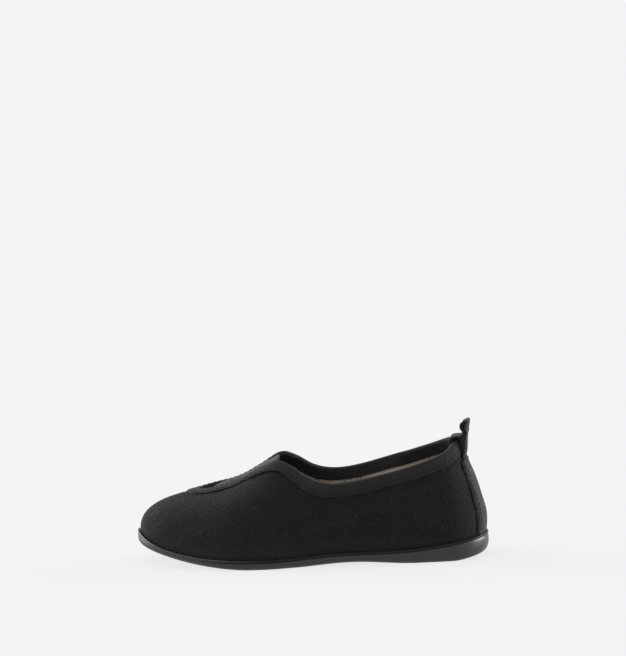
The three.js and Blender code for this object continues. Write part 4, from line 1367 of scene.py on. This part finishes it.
def cut(piece, cutter):
    """piece less cutter, with its faces kept smooth between sharp edges."""
    work = piece.modifiers.new("cut", "BOOLEAN")
    work.operation = "DIFFERENCE"
    work.solver = "EXACT"
    work.object = cutter
    bpy.context.view_layer.update()
    result = bpy.data.meshes.new_from_object(piece.evaluated_get(bpy.context.evaluated_depsgraph_get()))
    piece.modifiers.clear()
    piece.data = result
    bpy.data.objects.remove(cutter)
    result.shade_smooth()
    result.set_sharp_from_angle(angle=math.radians(38))


SOLE_BEVEL = 2.4
HEEL_ROLL = 1.6  # how much further the rounding reaches up at the back of the heel


def bevel_height(share):
    return 1.1 * SOLE_BEVEL + HEEL_ROLL * (1 - smoothstep(share, 0.0, 0.13))


LIP_BEAD = 1.35
LIP_LINE = LIP_BEAD - 0.45  # depth below the rim where the line under the lip meets the bead
LIP_INNER = RIM_WALL + 0.42  # the lip's inner wall, nearly against the canvas
# The lip from the line under it, over its bead and down its inner wall, as (inset, depth below the rim)
LIP_SECTION = [
    (0.34, LIP_BEAD - 0.02),
    (0.42, LIP_BEAD - 0.14),
    (0.3, LIP_BEAD - 0.28),
    (0.08, LIP_LINE),
    (0.0, 0.7),
    (0.02, 0.45),
    (0.14, 0.2),
    (0.38, 0.05),
    (0.75, 0.0),
    (LIP_INNER - 0.35, 0.04),
    (LIP_INNER - 0.08, 0.2),
    (LIP_INNER, 0.5),
    (LIP_INNER, RIM_LIP),
]


def lip_shows():
    """1 where the lip stands off the sole's side, easing to 0 at the toe, for each column of the sole."""
    return 1 - smoothstep(share_at(sole_ring(0.0, rim_height)[:, 0]), 0.72, 0.86)


def build_sole():
    """Moulded sole: rounded at the ground, a soft side wall, a shallow line under the lip, and the lip."""
    rings = []
    for turn in np.linspace(0, math.pi / 2, 8):
        inset = SOLE_BEVEL * (1 - math.sin(turn))
        rise = 1 - math.cos(turn)
        rings.append(sole_ring(inset, lambda s, rise=rise: ground_height(s) + bevel_height(s) * rise))
    for share, inset in ((0.3, 0.0), (0.6, 0.04), (0.85, 0.14)):
        rings.append(sole_ring(inset, lambda s, k=share: (
            (ground_height(s) + bevel_height(s)) * (1 - k) + (rim_height(s) - LIP_BEAD) * k)))
    for inset, down in LIP_SECTION:
        plain = 1 - lip_shows() if down >= LIP_LINE else 0
        rings.append(sole_ring(inset * (1 - plain), lambda s, d=down: rim_height(s) - d))
    for inset in (FOOT_INSET + 0.25 * LASTING, FOOT_INSET + LASTING):
        rings.append(sole_ring(inset, floor_height))
    first_dull = len(rings) - 2 - len(LIP_SECTION)
    sole = loft("moulded_sole", rings, MATERIALS["rubber"], range(first_dull, len(rings) - 1))
    cut(sole, tread_cutter())
    return keep(sole, "sole_rubber", "outsole")


PLATE_INSET = FOOT_INSET + CANVAS + LINING + 2 * GAP
BOARD = 1.2
FOAM = 2.4
SOCK_LIFT = CANVAS + LINING + 6 * GAP + BOARD + GAP + FOAM + GAP
# The insole's edge from its underside round to its dished top, as (inset, height)
SOCK_SECTION = [(0.9, 0), (0.8, 0.25), (1.0, 0.5), (1.6, 0.56), (3.0, 0.5), (6.0, 0.32), (9.0, 0.22)]


def build_sock():
    """Cloth-covered insole: slightly dished, with a soft edge."""
    index = np.linspace(0, TURN, LINING_COLUMNS, endpoint=False)
    wall = wall_length(index)
    stiff = -(lining_offset(index, (0.8 * wall)[:, None], wall)[:, 0] + CANVAS + GAP)
    rings = []
    for extra, height in SOCK_SECTION:
        ring = edge_point(between(index)[:, 0], PLATE_INSET + extra + stiff)
        ring[:, 2] = floor_height(share_at(ring[:, 0])) + SOCK_LIFT + height
        rings.append(ring + SHIFT)
    sock = loft("cloth_insole", rings, MATERIALS["lining"])
    return keep(sock, "lining_cloth", "sock_liner")


# ---- studio

CAMERA_AZIMUTH = math.radians(5)
CAMERA_ELEVATION = math.radians(9.1)
CAMERA_ROLL = math.radians(2.4)
CAMERA_DISTANCE = 3.0
FRAME_HEIGHT_M = 0.3072  # height of the picture at the shoe
SENSOR_MM = 36
# The shoe's middle from the picture's middle, as shares of the picture's height
PLACE_IN_FRAME = (-0.0032, -0.2545)
AIM = Vector((0, 0, 0.03))


def build_camera():
    a, e = CAMERA_AZIMUTH, CAMERA_ELEVATION
    back = Vector((math.sin(a) * math.cos(e), -math.cos(a) * math.cos(e), math.sin(e)))
    level = Vector((math.cos(a), math.sin(a), 0))
    upright = back.cross(level)
    right = level * math.cos(CAMERA_ROLL) - upright * math.sin(CAMERA_ROLL)
    up = level * math.sin(CAMERA_ROLL) + upright * math.cos(CAMERA_ROLL)
    shift = right * PLACE_IN_FRAME[0] + up * PLACE_IN_FRAME[1]
    forward = (-back * (CAMERA_DISTANCE / FRAME_HEIGHT_M) - shift).normalized()
    up = (up - forward * up.dot(forward)).normalized()
    right = forward.cross(up)
    data = bpy.data.cameras.new("camera")
    data.sensor_width = SENSOR_MM
    data.lens = SENSOR_MM * CAMERA_DISTANCE / FRAME_HEIGHT_M
    data.clip_start, data.clip_end = 0.05, 20
    camera = bpy.data.objects.new("camera", data)
    bpy.context.scene.collection.objects.link(camera)
    camera.rotation_mode = "QUATERNION"
    camera.location = AIM + back * CAMERA_DISTANCE
    camera.rotation_quaternion = Matrix((right, up, -forward)).transposed().to_quaternion()
    bpy.context.scene.camera = camera


def sun(name, towards, strength, spread):
    """Soft light from a direction, as from a large softbox far off."""
    data = bpy.data.lights.new(name, "SUN")
    data.energy = strength
    data.angle = math.radians(spread)
    lamp = bpy.data.objects.new(name, data)
    bpy.context.scene.collection.objects.link(lamp)
    lamp.rotation_mode = "QUATERNION"
    lamp.rotation_quaternion = (-Vector(towards)).to_track_quat("-Z", "Y")


FLOOR_GLOW = 0.77
FLOOR_GREY = 0.08
WORLD_GREY = 0.905
SUNS = {  # towards the lamp, strength, spread in degrees
    "toe_side": ((-1.0, 0.45, 0.28), 4.2, 50),
    "heel_side": ((1.0, 0.35, 0.15), 3.6, 40),
    "overhead": ((-0.35, 0.0, 1.0), 0.8, 60),
}


def build_studio():
    bpy.ops.mesh.primitive_plane_add(size=60, location=(0, 0, 0))
    floor = bpy.context.object
    floor.name = "studio_floor"
    nodes = Nodes("studio_floor")
    floor.data.materials.append(nodes.finish(
        grey(FLOOR_GREY), 1.0, Specular_IOR_Level=0.0,
        Emission_Color=(1, 1, 1, 1), Emission_Strength=FLOOR_GLOW,
    ))
    world = bpy.data.worlds.new("studio")
    world.use_nodes = True
    world.node_tree.nodes["Background"].inputs[0].default_value = grey(WORLD_GREY)
    bpy.context.scene.world = world
    bpy.context.scene.view_settings.view_transform = "Standard"
    for name, lamp in SUNS.items():
        sun(name, *lamp)


# ---- make everything

build_camera()
build_studio()
for hidden, key in HIDDEN_NODES.items():
    dress(hidden, key)
build_sole()
build_sock()
build_lining()
build_canvas()
build_binding()
build_binding_stitches()
build_gore()
build_gore_stitches()
build_backstay()
build_backstay_stitches()
build_pull_loop()
build_seam_tape()
build_tack_stitches()
